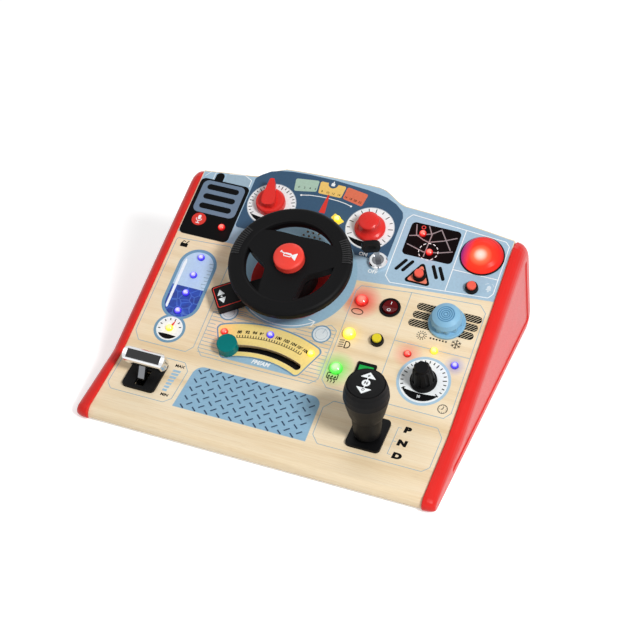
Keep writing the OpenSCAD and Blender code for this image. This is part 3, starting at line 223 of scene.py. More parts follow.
def plane_coordinates(tree, plane, stretch=(1, 1, 1)):
    """Object coordinates turned into millimetres on a plane, then stretched."""
    back = plane.inverted()
    onto = add_node(tree, "Mapping", vector_type="POINT", Location=back.translation,
                    Rotation=back.to_euler(), Scale=back.to_scale())
    tree.links.new(object_coordinates(tree), onto.inputs["Vector"])
    if stretch == (1, 1, 1):
        return onto.outputs["Vector"]
    drawn = add_node(tree, "Mapping", vector_type="POINT", Scale=stretch)
    tree.links.new(onto.outputs["Vector"], drawn.inputs["Vector"])
    return drawn.outputs["Vector"]


def mixed(tree, factor, under, over, blend="MIX"):
    """Two colour outputs mixed by a factor output or a number."""
    made = add_node(tree, "Mix", data_type="RGBA", blend_type=blend)
    for socket, value in ((0, factor), (6, under), (7, over)):
        if hasattr(value, "is_linked"):
            tree.links.new(value, made.inputs[socket])
        else:
            made.inputs[socket].default_value = value
    return made.outputs[2]


plain_white = (1, 1, 1)
fibre_run = (0.02, 1.1, 1.1)
ply_t, skin = 1.0, 0.05
birch, tree, shader = new_finish("birch_ply", Roughness=0.42, Coat_Weight=0.15, Coat_Roughness=0.2)
figure = noise(tree, plane_coordinates(tree, face_plane, (0.004, 0.055, 0.055)), 1.0, 3.0)
fibre = noise(tree, plane_coordinates(tree, face_plane, fibre_run), 1.0, 3.0)
pores = noise(tree, plane_coordinates(tree, face_plane, (0.09, 3.2, 3.2)), 1.0, 1.0)
wood = ramp(tree, figure, [(0.3, hue("DAC29E")), (0.5, hue("E8D4B5")), (0.7, hue("EEDEC4"))])
fibres = ramp(tree, fibre, [(0.35, hue("CEB38B")), (0.6, hue("F1E2CB"))])
wood = mixed(tree, 0.35, wood, fibres, "SOFT_LIGHT")
wood = mixed(tree, 0.12, wood, ramp(tree, pores, [(0.3, hue("A98A5C")), (0.45, plain_white)]), "MULTIPLY")
on_face = plane_coordinates(tree, face_plane)
# Painted lamp light: each lamp's colour multiplies the wood near it, fading out from start to end millimetres
# away.
painted_lamp_glows = [((228.8, -115.0), "FF7C7C", 7.0, 23.0), ((228.8, -157.0), "FFFFE4", 6.0, 16.0),
              ((228.8, -200.0), "AEFFAA", 7.0, 22.0), ((295.7, -163.2), "FFCACA", 5.0, 17.0),
              ((347.3, -163.2), "D2D8FF", 5.0, 12.0)]
for glow_centre, code, start, end in painted_lamp_glows:
    away = add_node(tree, "VectorMath", operation="DISTANCE")
    away.inputs[1].default_value = (*glow_centre, 0)
    tree.links.new(on_face, away.inputs[0])
    near = add_node(tree, "MapRange", From_Min=start, From_Max=end, To_Min=1.0, To_Max=0.0)
    tree.links.new(away.outputs["Value"], near.inputs["Value"])
    wood = mixed(tree, near.outputs["Result"], wood, (*hue(code), 1), "MULTIPLY")
height = add_node(tree, "SeparateXYZ")
tree.links.new(on_face, height.inputs["Vector"])
plies = add_node(tree, "Math", operation="PINGPONG")
plies.inputs[1].default_value = ply_t
tree.links.new(height.outputs["Z"], plies.inputs[0])
edge = ramp(tree, plies.outputs[0], [(0.42, hue("C9A772")), (0.58, hue("E3CB9C"))])
below = add_node(tree, "Math", operation="LESS_THAN")
below.inputs[1].default_value = -skin
tree.links.new(height.outputs["Z"], below.inputs[0])
tree.links.new(mixed(tree, below.outputs[0], wood, edge), shader.inputs["Base Color"])
relief(tree, shader, fibre, 0.2, 0.00005)
dress("face_panel", birch)

# Base and back boards, and what sits inside
# Plain fibreboard closes the housing from below and behind, screwed to pine battens inside.
# Screws, nuts and spindles are plain steel; the battery box, switches and brackets are moulded.


def fibreboard(name, dark, light):
    made, tree, shader = new_finish(name, Roughness=0.75)
    where = object_coordinates(tree)
    chips = noise(tree, where, 260.0, 4.0)
    tree.links.new(ramp(tree, chips, [(0.32, hue(dark)), (0.68, hue(light))]), shader.inputs["Base Color"])
    relief(tree, shader, noise(tree, where, 900.0), 0.4, 0.0001)
    return made


dress("base_board back_board", fibreboard("brown_board", "A8865A", "C9AA7B"))
dress("battens", fibreboard("pine", "CBAA74", "E2C89A"))


def metal(name, code, gloss, lines, depth):
    """Bare or plated metal with fine marks along x."""
    made, tree, shader = new_finish(name, Metallic=1.0)
    where = add_node(tree, "Mapping", vector_type="POINT", Scale=(lines * 0.1, lines, lines))
    tree.links.new(object_coordinates(tree), where.inputs["Vector"])
    marks = noise(tree, where.outputs["Vector"], 1.0)
    tree.links.new(varied(tree, marks, hue(code), 0.94, 1.04), shader.inputs["Base Color"])
    tree.links.new(spread(tree, marks, gloss, gloss + 0.08), shader.inputs["Roughness"])
    relief(tree, shader, marks, 0.12, depth)
    return made


steel = metal("plain_steel", "B4B6BA", 0.32, 900.0, 0.00003)
chrome = metal("chrome_plate", "E4E5E7", 0.08, 300.0, 0.00001)
black = moulded("satin_black", "0C0C0D", 0.4, 1400.0, 0.00006, 0.0, 0.1)
grey = moulded("grey_moulding", "6E7176", 0.5, 1200.0, 0.00006)
dress("screws battery_contacts steering_shaft panel_nuts lever_axles", steel)
dress("pointer_spindle volume_spindle fan_spindle dial_spindle", steel)
dress("battery_box battery_door speaker lever_brackets slider_guide", black)
dress("steering_bush rotary_switches slider_carriage", grey)
dress("battery_cells", moulded("cell_jacket", "3B5F8E", 0.35, 500.0, 0.00003, 0.2))
dress("circuit_board", moulded("coated_laminate", "1F5A36", 0.4, 700.0, 0.00004, 0.3))

# Sky-blue field and wheel disc
# The face is screen printed: thin films of ink lie on the lacquer, one over the other.
# The first is the pale blue field over the upper half, with a darker disc under the wheel.
film_t, film_gap, layer_step, stagger = 0.04, 0.005, 0.05, 0.0015
merge_gap, cap_share = 0.0003, 0.72
dot_steps, disc_steps = 20, 96
round_steps, straight_half, edge_share, sharp_limit = 10, 1.55, 0.49, 0.4


def circle(centre, r, steps=48):
    turns = [2 * pi * k / steps for k in range(steps)]
    return [(centre[0] + r * cos(a), centre[1] + r * sin(a)) for a in turns]


def spoke(centre, a, inner, outer):
    """The two ends of a straight mark that points away from a centre."""
    return [(centre[0] + r * cos(a), centre[1] + r * sin(a)) for r in (inner, outer)]


def arc(centre, r, start, end, steps=32):
    """Points on an arc, with its angles in degrees from the right."""
    turns = [radians(start + (end - start) * k / steps) for k in range(steps + 1)]
    return [(centre[0] + r * cos(a), centre[1] + r * sin(a)) for a in turns]


def rounded(corners, radii):
    """A closed outline with its corners rounded, all alike or each by its own radius."""
    points = []
    for k, corner in enumerate(corners):
        r = radii[k] if isinstance(radii, (list, tuple)) else radii
        p = Vector(corner)
        before = Vector(corners[k - 1]) - p
        after = Vector(corners[(k + 1) % len(corners)]) - p
        half = before.angle(after) / 2
        if r <= 0 or half > straight_half:
            points.append(tuple(p))
            continue
        reach = min(r / tan(half), before.length * edge_share, after.length * edge_share)
        r = reach * tan(half)
        middle = p + (before.normalized() + after.normalized()).normalized() * (r / sin(half))
        first = p + before.normalized() * reach - middle
        sweep = first.angle_signed(p + after.normalized() * reach - middle)
        for step in range(round_steps + 1):
            a = -sweep * step / round_steps
            points.append((middle.x + first.x * cos(a) - first.y * sin(a),
                           middle.y + first.x * sin(a) + first.y * cos(a)))
    return points


def box(u0, u1, v0, v1, r=0.0):
    return rounded([(u0, v0), (u1, v0), (u1, v1), (u0, v1)], r)


def offset(points, d):
    """A closed outline moved sideways by d, to the right of its run."""
    moved = []
    for k, p in enumerate(points):
        p = Vector(p)
        a = (p - Vector(points[k - 1])).normalized()
        b = (Vector(points[(k + 1) % len(points)]) - p).normalized()
        side = Vector((a.y + b.y, -a.x - b.x))
        moved.append(tuple(p + side * (2 * d / max(side.length_squared, sharp_limit))))
    return moved


def line_round(points, width):
    """A printed line along a closed outline."""
    return [offset(points, width / 2), offset(points, -width / 2)]


def line(points, width):
    """A printed line along an open path, with square ends."""
    left, right = [], []
    for k, p in enumerate(points):
        p = Vector(p)
        a = (p - Vector(points[k - 1])).normalized() if k else None
        b = (Vector(points[k + 1]) - p).normalized() if k + 1 < len(points) else a
        a = a or b
        side = Vector((-a.y - b.y, a.x + b.x))
        side *= width / max(side.length_squared, sharp_limit)
        left.append(tuple(p + side))
        right.append(tuple(p - side))
    return [left + right[::-1]]


def ring(centre, inner, outer):
    return [circle(centre, outer), circle(centre, inner)]


def ink(name, code, show=0.5, shine=0.25):
    """Screen ink: a slightly uneven film that lets the grain below show through."""
    made, tree, shader = new_finish(name, Specular_IOR_Level=shine)
    mottle = noise(tree, object_coordinates(tree), 420.0, 3.0)
    laid = varied(tree, mottle, hue(code), 0.95, 1.04)
    grain = noise(tree, plane_coordinates(tree, face_plane, fibre_run), 1.0, 3.0)
    laid = mixed(tree, show * 0.3, laid, varied(tree, grain, plain_white, 0.7, 1.0), "MULTIPLY")
    tree.links.new(laid, shader.inputs["Base Color"])
    tree.links.new(spread(tree, mottle, 0.4, 0.5), shader.inputs["Roughness"])
    relief(tree, shader, grain, 0.15, 0.00004)
    return made


def lettering(name, words):
    """Text objects for (words, place, height, turn, weight, slant) in millimetres.
    A seventh value makes the letters wider."""
    made = []
    for text, at, size, turn, weight, slant, *wide in words:
        letters = bpy.data.curves.new(name, "FONT")
        letters.body = text
        letters.size = size / cap_share
        letters.align_x, letters.align_y = "CENTER", "CENTER"
        letters.offset = weight
        letters.shear = slant
        letters.extrude = film_t / 2
        sign = bpy.data.objects.new(name, letters)
        sign.location = (at[0], at[1], 0)
        sign.rotation_euler.z = radians(turn)
        sign.scale.x = wide[0] if wide else 1.0
        made.append(sign)
    return made


def film(name, shapes, finish, layer, plane=face_plane, body="housing", words=(), cuts=(), seat=None,
         thick=film_t):
    """A printed film: flat outlines and words made one thin solid and laid on a surface.
    Each shape is a list of outlines, the later ones cut out of the first. Cuts are lines
    across the film, as (axis, place), and seat bends the cut film on to a curved surface.
    Raised marks are made the same way, with a thickness of their own."""
    flats = []
    for outlines in shapes:
        drawn = bpy.data.curves.new(name, "CURVE")
        drawn.dimensions = "2D"
        drawn.fill_mode = "BOTH"
        drawn.extrude = thick / 2
        for points in outlines:
            run = drawn.splines.new("POLY")
            run.points.add(len(points) - 1)
            run.points.foreach_set("co", [c for p in points for c in (p[0], p[1], 0, 1)])
            run.use_cyclic_u = True
        flats.append(bpy.data.objects.new(name, drawn))
    flats += lettering(name, words)
    bpy.ops.object.select_all(action="DESELECT")
    for step, flat in enumerate(flats):
        scene.collection.objects.link(flat)
        flat.location.z = thick / 2 + film_gap + layer * layer_step + step * stagger
        flat.select_set(True)
    bpy.context.view_layer.objects.active = flats[0]
    bpy.ops.object.convert(target="MESH")
    if len(flats) > 1:
        bpy.ops.object.join()
    piece = bpy.context.object
    bpy.ops.object.transform_apply(location=True, rotation=True, scale=True)
    bpy.ops.object.mode_set(mode="EDIT")
    bpy.ops.mesh.select_all(action="SELECT")
    bpy.ops.mesh.remove_doubles(threshold=merge_gap)
    for axis, place in cuts:
        bpy.ops.mesh.select_all(action="SELECT")
        across = Vector((1, 0, 0)) if axis == "u" else Vector((0, 1, 0))
        bpy.ops.mesh.bisect(plane_co=across * place, plane_no=across)
    bpy.ops.mesh.select_all(action="SELECT")
    bpy.ops.mesh.normals_make_consistent(inside=False)
    bpy.ops.object.mode_set(mode="OBJECT")
    if seat:
        for point in piece.data.vertices:
            point.co = seat(*point.co)
    piece.data.transform(plane)
    piece.data.materials.clear()
    piece.data.materials.append(finish)
    piece.name = name
    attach(piece, body)
    return piece


crown_h, arch_h, arch_u, arch_half, arch_flat = 13.5, 15.5, 148.0, 90.0, 0.6


def top_edge(u):
    """Height of the face's crowned and arched top edge at u."""
    x = (abs(u - arch_u) / arch_half - arch_flat) / (1 - arch_flat)
    x = min(max(x, 0.0), 1.0)
    return crown_h * (1 - (2 * u / face_w - 1) ** 2) + arch_h * (1 - x * x * (3 - 2 * x))


sky = ink("sky_ink", "A3C0D4")
deep_sky = ink("deep_sky_ink", "96BACF")
wheel_at = (150.0, -110.0)
disc_at, disc_r = (148.5, -102.0), 67.0
edge_in = 1.0
speaker_at, speaker_rows, speaker_hole_r = (149.0, -52.5), (3, 4, 5), 1.35
speaker_pitch, row_share = 6.4, 0.8
speaker_holes = [circle((speaker_at[0] + (i - (count - 1) / 2) * speaker_pitch,
                         speaker_at[1] + (1 - k) * speaker_pitch * row_share), speaker_hole_r, dot_steps)
                 for k, count in enumerate(speaker_rows) for i in range(count)]
field_steps = 60
field_us = [edge_in + (face_w - 2 * edge_in) * k / field_steps for k in range(field_steps + 1)]
field = [(u, top_edge(u) - edge_in) for u in field_us]
field += [(face_w - edge_in, -79.0), (300, -84.4), (212, -92), (disc_at[0], -120), (90, -110),
          (86, -84), (edge_in, -84)]
lock_at, lock_clear = (230.5, -64.5), 9.6
film("sky_field", [[field, circle(lock_at, lock_clear)] + speaker_holes], sky, 0)
film("wheel_disc", [[circle(disc_at, disc_r, disc_steps)] + speaker_holes], deep_sky, 2)

white = ink("white_ink", "EEF2F3", 0.25)
arrow_r, arrow_start, arrow_end, arrow_w = disc_r - 2.5, -122, -52.0, 1.1
arrow_tip = arc(disc_at, arrow_r, arrow_end, arrow_end, 1)[0]
film("turn_arrow", [line(arc(disc_at, arrow_r, arrow_start, arrow_end), arrow_w),
                    line([(arrow_tip[0] - 7.5, arrow_tip[1] + 1.2), arrow_tip,
                          (arrow_tip[0] - 2.5, arrow_tip[1] - 6.5)], arrow_w)], white, 3)

# Instrument cluster print
# A navy panel under the arch carries a coloured scale with a needle and two white dials.
# Their knobs turn over the printed ticks.
navy = ink("navy_ink", "33526E")
ink_black = ink("black_ink", "0B0B0C", 0.2, 0.05)
lock_edge = arc(lock_at, lock_clear, 38.6, 164.9, 16)
cluster = rounded([(61, -15), (61, 5), (66, 11), (75, 18), (85, 21.5), (100, 24), (120, 25), (150, 25),
                   (190, 22), (213, 18), (226, 12), (236, 4), (238.5, -3), *lock_edge, (61, -62)],
                  [0, 4, 4, 5, 5, 5, 5, 5, 5, 8, 8, 6, 6] + [0] * len(lock_edge) + [4])
film("cluster_panel", [[cluster] + speaker_holes], navy, 1)
scale_segments = [("green_segment", "A9C4B2", [(106, 16.5), (133, 20), (134, 5), (109, 0)]),
                  ("yellow_segment", "ECC46E", [(134.5, 20), (165, 20), (163.5, 4), (136.5, 4)]),
                  ("orange_segment", "DB7052", [(166.5, 20), (192, 16), (189.5, -1), (165.5, 4)])]
for name, code, corners in scale_segments:
    film(name, [[rounded(corners, 2.2)]], ink(name + "_ink", code), 2)
film("scale_notch", [[circle((149.5, 19.5), 5.6)]], navy, 3)
film("scale_notch_icon", [[box(147.4, 151.6, 16.8, 20.6, 0.6)], line([(149.5, 20), (149.5, 23)], 1.2)],
     white, 4)
digit_h, digit_weight, digits_each = 2.6, 0.02, 4
digit_rows = [((113, 6.2), (6.3, 0.7), 4), ((140, 7.2), (6.6, 0), 0), ((168.5, 6.6), (5.8, -0.9), -8)]
digits = [(str(2 * (row * digits_each + k)), (at[0] + step[0] * k, at[1] + step[1] * k),
           digit_h, lean, digit_weight, 0)
          for row, (at, step, lean) in enumerate(digit_rows) for k in range(digits_each)]
film("scale_digits", [], ink_black, 4, words=digits)
scale_curve = [(119, -3.4), (128, -1.2), (140, 0), (150, 0.2), (162, -0.3), (171, -1.6), (178, -3.4)]
scale_dots = [[circle(scale_curve[end], 1.2, dot_steps)] for end in (0, -1)]
film("scale_line", [line(scale_curve, 0.9)] + scale_dots, white, 2)
red_ink = ink("red_ink", "D6362B", 0.2)
film("scale_needle", [[rounded([(145.6, -20), (152.6, -20), (150, 4.8), (148.2, 4.8)], 0.5)]], red_ink, 3)
amber = ink("amber_ink", "F1DC5A", 0.2)
film("turn_window", [[rounded([(164, -16.5), (177.5, -24.5), (172.5, -30), (161, -23)], 1.2)]], amber, 3)


def dial_ticks(centre, reach, start, end, count, long_each, long_l, short_l, width):
    """Ticks round a dial, each running in from its edge, clockwise from start to end."""
    ticks = []
    for k in range(count):
        a = radians(start + (end - start) * k / (count - 1))
        inner = reach - (long_l if k % long_each == 0 else short_l)
        ticks.append(line(spoke(centre, a, inner, reach), width))
    return ticks


def crescent(centre, r, chord, sag):
    """Dark window at the foot of a dial: an arc closed by a flatter curve at height chord."""
    half, steps = acos(-chord / r) * 180 / pi, 12
    low = arc(centre, r, -90 - half, -90 + half)
    top = [(low[-1][0] + (low[0][0] - low[-1][0]) * k / steps,
            low[0][1] - sag * (1 - (2 * k / steps - 1) ** 2)) for k in range(1, steps)]
    return [low + top]


pointer_dial, volume_dial = (91.0, -24.0), (207.5, -25.5)
pointer_dial_r, volume_dial_r, rim_w, dial_steps = 27.9, 27.4, 0.7, 72
film("pointer_dial", [[circle(pointer_dial, pointer_dial_r, dial_steps)]], white, 2)
film("volume_dial", [[circle(volume_dial, volume_dial_r, dial_steps)]], white, 2)
film("dial_rims", [ring(pointer_dial, pointer_dial_r - rim_w, pointer_dial_r),
                   ring(volume_dial, volume_dial_r - rim_w, volume_dial_r)], ink("rim_ink", "B9C6CE"), 3)
film("cluster_ticks", dial_ticks(pointer_dial, 26.2, 220, -40, 27, 2, 4.4, 2.6, 0.95)
     + [crescent(pointer_dial, 25.6, -16.5, 2.4)]
     + dial_ticks(volume_dial, 25.6, 210, -30, 13, 2, 5.2, 3.4, 0.9)
     + [crescent(volume_dial, 25.2, -15.5, 2.4)], ink_black, 3)
lock_words = [("ON", (211, -59.0), 4.3, 0, 0.22, 0), ("OFF", (228, -77.5), 4.3, 0, 0.2, 0)]
film("lock_words", [], white, 3, words=lock_words)

# Radio handset print
# A black handset is printed at the upper left, with a slotted grille and a red talk button.
handset_black = ink("handset_ink", "08090A", 0.2, 0.05)
grille = ink("grille_ink", "6C7F95", 0.4)
handset_stub = rounded([(16, -10), (16, 1.5), (26, 1.5), (26, -10)], [0, 4.8, 4.8, 0])
film("handset", [[box(1.2, 60, -85, -9, 6)], [handset_stub]], handset_black, 2)
film("handset_grille", [[box(5.5, 56, -54, -11, 7)]], grille, 3)
slot_tops, grille_slot_h = (-15.6, -28.4, -41.2), 7.2
film("grille_slots", [[box(11.5, 49.5, top - grille_slot_h, top, 3.5)] for top in slot_tops],
     handset_black, 4)
film("talk_button", [[circle((18, -63), 8.2)]], red_ink, 3)
film("talk_icon", [[box(16.3, 19.7, -63.4, -57.6, 1.6)], line(arc((18, -62), 3.2, 180, 360, 16), 0.8),
                   line([(18, -65), (18, -68)], 0.9), line([(15.8, -68), (20.2, -68)], 0.9)], white, 4)
film("aerial_panel", [[rounded([(27.5, -8.6), (27.5, 1), (36, 2.6), (48, 4.2), (57, 0), (57, -8.6)], 1.2)]],
     ink("pale_blue_ink", "9FB6C6"), 1)
film("aerial_lines", [line([(14.2, -9), (14.2, -1), (15.6, 2.2)], 0.7),
                      line([(30, 2.6), (48, 5.4), (57.8, 0.6), (57.8, -8)], 0.9),
                      line([(3.5, -6.5), (9, 0.5)], 0.7)], white, 2)
film("fuel_icon", [[box(10, 18.5, -101.6, -96.8, 0.5)], line([(11, -97), (12.5, -94.2), (15, -94.8)], 0.9),
                   line([(16, -97), (18.4, -93.2)], 1.1)], ink_black, 1)

# Map screen and beacon panel print
# White rules divide the upper right into a dark screen, a warning sign, the beacon's place and a bell.
# The streets on the screen are a plain made-up grid.
panel_frame = [(243, -3), (248, 4), (356, -4), (361, -9), (361, -70), (357, -76), (250, -85), (243, -78)]
panel_rule_w = 1.0
film("panel_rules", [line_round(rounded(panel_frame, 2.5), panel_rule_w),
                     line([(310.5, -0.8), (310.5, -80.4)], panel_rule_w),
                     line([(310.8, -52), (360.6, -52)], panel_rule_w)], white, 1)
film("screen", [[box(250.5, 307, -47, -4.5, 5)]], ink("screen_ink", "0B0405", 0.15, 0.04), 1)
streets = [[(252, -23), (262, -20), (276, -14.5), (285, -7)],
           [(256, -7), (259.5, -20), (268, -24), (275, -26)],
           [(270, -6), (276, -16), (275, -45)],
           [(275, -26), (291, -20), (304, -13)],
           [(285, -8), (301, -30)],
           [(253, -33.5), (273, -39), (290, -36), (304, -31)]]
film("streets", [line(street, 1.2) for street in streets], ink("street_ink", "97898C", 0.15), 2)
target, target_r, dash_turn, dash_each = (278.5, -37.5), 10.5, 17, 30
film("target_ring", [line(arc(target, target_r, a, a + dash_turn, 6), 0.9) for a in range(0, 360, dash_each)],
     white, 3)
film("fuel_stop", [ring((264.5, -9), 1.6, 2.5)], ink("stop_ink", "D8443C", 0.1), 3)
slashes = [((251.5, -66.5), (258.5, -54)), ((259, -66.5), (266, -54)), ((289.5, -54), (296.5, -66.5)),
           ((297, -54), (304, -66.5))]


def pill(a, b, width, steps=12):
    """A bar with round ends."""
    start = Vector(b) - Vector(a)
    turn = -Vector((1, 0)).angle_signed(start) * 180 / pi
    return [arc(b, width / 2, turn - 90, turn + 90, steps) + arc(a, width / 2, turn + 90, turn + 270, steps)]


film("slash_bars", [pill(a, b, 3.9) for a, b in slashes], ink_black, 1)
film("warning_border", [[rounded([(278, -50.2), (262.3, -79.3), (293.7, -79.3)], 3)]], ink_black, 1)
film("warning_field", [[rounded([(278, -54.9), (266, -77), (290, -77)], 1.8)]],
     ink("salmon_ink", "EE8268", 0.3), 2)
bell = [(350.9, -67), (352.2, -66), (352.4, -62.6), (354.5, -60.8), (356.6, -62.6), (356.8, -66),
        (358.1, -67)]
bell_u, bell_ring_r, bell_ring_turn = 354.5, 5.6, 45
bell_rings = [line(arc((bell_u, -64), bell_ring_r, start, start + bell_ring_turn, 8), 0.6)
              for start in (30, 105)]
film("bell_icon", [[rounded(bell, 0.7)], [circle((bell_u, -68.2), 1.1, dot_steps)]] + bell_rings,
     ink("faint_white_ink", "D3E0E8"), 1)

# Water tank and small gauge print
# A rounded tank half full of water, drawn with its highlight and a level scale; a gauge below.
rule_blue = ink("rule_ink", "92B0C0")
slate = ink("slate_ink", "6F97B3")
rule_w = 0.7
tank_frame = [(3.5, -92), (66, -88), (72.5, -97), (72.5, -217), (66, -224.5), (11, -224.5), (3.5, -214)]
film("tank_rule", [line_round(rounded(tank_frame, 3), rule_w)], rule_blue, 0)
film("tank_border", [[box(17, 61, -190, -100, 21.9)]], slate, 1)
tank_left, tank_right, water_line = 20.8, 57.4, -149.0
tank_inside = box(tank_left, tank_right, -187, -103.6, 18.2)
film("tank_air", [[tank_inside]], ink("air_ink", "BCD3E6", 0.2), 2)
water, tree, shader = new_finish("water_ink", Roughness=0.42, Coat_Weight=0.1)
cells = add_node(tree, "TexVoronoi", feature="DISTANCE_TO_EDGE", Scale=0.12)
tree.links.new(plane_coordinates(tree, face_plane), cells.inputs["Vector"])
ripple = ramp(tree, cells.outputs["Distance"],
              [(0.0, hue("6A96DE")), (0.04, hue("1E54B4")), (0.12, hue("053690"))])
tide = noise(tree, plane_coordinates(tree, face_plane, (0.08, 0.12, 0.1)), 1.0)
depths = ramp(tree, tide, [(0.35, hue("042070")), (0.65, hue("1248B4"))])
tree.links.new(mixed(tree, 0.5, ripple, depths), shader.inputs["Base Color"])
tank_foot = [p for p in tank_inside if p[1] < water_line]
film("tank_water", [[[(tank_left, water_line)] + tank_foot + [(tank_right, water_line)]]], water, 3)
film("tank_shine", [[rounded([(23.2, -176), (26, -180), (26, -119), (24.2, -113), (22.6, -121)], 1)]],
     ink("shine_ink", "F4F8FA", 0.1), 4)
level_top, level_step, level_count = -115, 4.4, 8
film("tank_scale", [line([(57.2, level_top - level_step * k),
                          (53.4 if k % 2 else 51.4, level_top - 0.4 - level_step * k)], 0.5)
                    for k in range(level_count)], ink("scale_grey_ink", "6D8496"), 4)
gauge_at, gauge_border_r, gauge_r, gauge_steps = (38.7, -202.6), 17.5, 14.6, 64
film("gauge_border", [[circle(gauge_at, gauge_border_r, gauge_steps)]], slate, 2)
film("gauge_face", [[circle(gauge_at, gauge_r, gauge_steps)]], white, 3)
film("gauge_marks", dial_ticks(gauge_at, 12.8, 190, 20, 7, 1, 2.6, 2.6, 1.1)
     + [crescent(gauge_at, 12.9, -7.6, -0.6)], ink_black, 4)
film("gauge_needle", [[rounded([(36.6, -202), (41, -201.4), (42.4, -190.4)], 0.4)]], red_ink, 5)

# Tuning scale print
# A yellow sector frames the curved slot, with a scale, station numbers and hatching round it.
arc_at, arc_r, slot_half, slot_w = (148.0, -313.0), 111.5, 21.0, 8.2


def sector(inner, outer, half, r):
    """A band about the tuning centre, drawn as a rounded box and bent round."""
    middle = (inner + outer) / 2
    flat = box(-radians(half) * middle, radians(half) * middle, inner, outer, r)
    bent = []
    for k, p in enumerate(flat):
        q = flat[(k + 1) % len(flat)]
        steps = max(int(hypot(q[0] - p[0], q[1] - p[1]) / 2), 1)
        for i in range(steps):
            a = (p[0] + (q[0] - p[0]) * i / steps) / middle
            far = p[1] + (q[1] - p[1]) * i / steps
            bent.append((arc_at[0] + far * sin(a), arc_at[1] + far * cos(a)))
    return bent


slot_gap = 0.25
slot_reach = slot_w / 2 + slot_gap
slot_end = slot_half + slot_reach / arc_r * 180 / pi
slot_cut = sector(arc_r - slot_reach, arc_r + slot_reach, slot_end, slot_reach)
chord_v, apron_half = -221.0, 26
apron = arc(arc_at, 101.5, 90 - apron_half, 90 + apron_half, 40)
apron = [p for p in apron if p[1] > chord_v]
film("tuning_apron", [[apron]], deep_sky, 1)
border_r, border_half = 143, 25.6
film("tuning_border", [[sector(100.5, border_r, border_half, 6), slot_cut]], slate, 1)
film("tuning_field", [[sector(102.2, 141.2, 24.9, 5), slot_cut]], ink("field_yellow_ink", "F4DC8A", 0.5), 2)
scale_r, tick_r, scale_left, scale_right, tick_count = 124.4, 127.4, 106, 72, 26
ticks = [line(arc(arc_at, scale_r, scale_right, scale_left, 40), 0.6)]
for k in range(tick_count):
    a = radians(scale_left - (scale_left - scale_right) * k / (tick_count - 1))
    ticks.append(line(spoke(arc_at, a, scale_r, tick_r), 0.9))
stations = [("88", 114.0), ("92", 122.5), ("94", 130.4), ("96", 138.0), ("100", 157.0), ("102", 166.6),
            ("104", 175.2), ("106", 183.0), ("108", 190.4)]
station_r = 131.0
marks = []
for text, u in stations:
    lean = asin((u - arc_at[0]) / station_r)
    marks.append((text, (u, arc_at[1] + station_r * cos(lean)), 3.4, -lean * 180 / pi, 0.2, 0.2))
film("tuning_scale", ticks, ink_black, 3, words=marks)
film("band_words", [], white, 2, words=[("FM/AM", (149, -216), 4.8, 0, 0.25, 0.3)])
radio_frame = [(77.5, -170), (77.5, -217), (84, -224.5), (207, -224.5), (214.5, -217), (214.5, -157),
               (207, -152), (190, -160), (150, -171), (110, -164)]
film("radio_rule", [line_round(rounded(radio_frame, 1), rule_w)], rule_blue, 0)
hatch = []
hatch_foot, hatch_step, hatch_count, hatch_left, hatch_right, hatch_least = -220.5, 4.5, 15, 78.0, 214.0, 2
for k in range(hatch_count):
    v = hatch_foot + hatch_step * k
    rise = v - arc_at[1]
    inner = min(max((border_r + 0.6) ** 2 - rise ** 2, 0.0) ** 0.5, rise * tan(radians(border_half))) + 0.8
    ring_gap = (disc_r + 1.5) ** 2 - (v - disc_at[1]) ** 2
    left = [hatch_left, arc_at[0] - inner]
    right = [arc_at[0] + inner, hatch_right]
    if ring_gap > 0:
        left[1] = min(left[1], disc_at[0] - ring_gap ** 0.5)
        right[0] = max(right[0], disc_at[0] + ring_gap ** 0.5)
    for u0, u1 in (left, right):
        if u1 - u0 > hatch_least:
            hatch.append(line([(u0, v), (u1, v)], rule_w))
film("radio_hatch", hatch, rule_blue, 0)
buttons, button_rim_r, button_r = [(200, -165), (94, -166)], 10.6, 9.1
film("radio_buttons_rim", [[circle(at, button_rim_r)] for at in buttons], slate, 1)
film("radio_buttons", [[circle(at, button_r)] for at in buttons], ink("button_white_ink", "DCE5EA"), 2)
film("radio_button_marks", [line([(at[0] + 1, at[1] + 1), (at[0] + 2.6, at[1] + 7)], 0.6) for at in buttons]
     + [ring(at, 6.3, 6.8) for at in buttons], ink("mark_grey_ink", "A9BAC6"), 3)

# Lamp, vent and dial panels print
# Fine blue rules frame the right-hand controls; black symbols stand beside the lamps.
lamp_frame = [(222, -97), (276, -91), (352, -86.5), (360, -95), (360, -217), (354, -224.5), (226, -223.8),
              (218.5, -216), (218.5, -104), (222, -97)]
film("lamp_rules", [line(lamp_frame, rule_w), line([(277, -91.3), (277, -224.2)], rule_w),
                    line([(277.4, -151), (359.6, -151)], rule_w)], rule_blue, 0)
oval_at, oval_w, oval_h = (228.0, -128.5), 6.2, 3.3
bulb_at, bulb_r, beam_step, beam_count = (229.6, -170), 4, 2.6, 4
icons = [[[(oval_at[0] + p[0] * (oval_w + s), oval_at[1] + p[1] * (oval_h + s)) for p in circle((0, 0), 1)]
          for s in (0.5, -0.5)],
         line_round([(bulb_at[0] - 1.2, bulb_at[1] + bulb_r)] + arc(bulb_at, bulb_r, 80, -80, 14)
                    + [(bulb_at[0] - 1.2, bulb_at[1] - bulb_r)], 1.1)]
icons += [line([(bulb_at[0] - 8.2, bulb_at[1] - 4 + beam_step * k),
                (bulb_at[0] - 3, bulb_at[1] - 3 + beam_step * k)], 1.0) for k in range(beam_count)]
icons += [line_round(box(222, 233.6, -212.4, -206, 0.8), 0.95)]
steam_at, steam_step, steam_count = 224.4, 3.4, 3
for k in range(steam_count):
    u = steam_at + steam_step * k
    icons.append(line([(u, -217), (u + 0.9, -215), (u - 0.9, -212), (u, -209.6)], 0.95))
    icons.append(line([(u - 1.3, -210.8), (u, -208.8), (u + 1.3, -210.8)], 0.7))
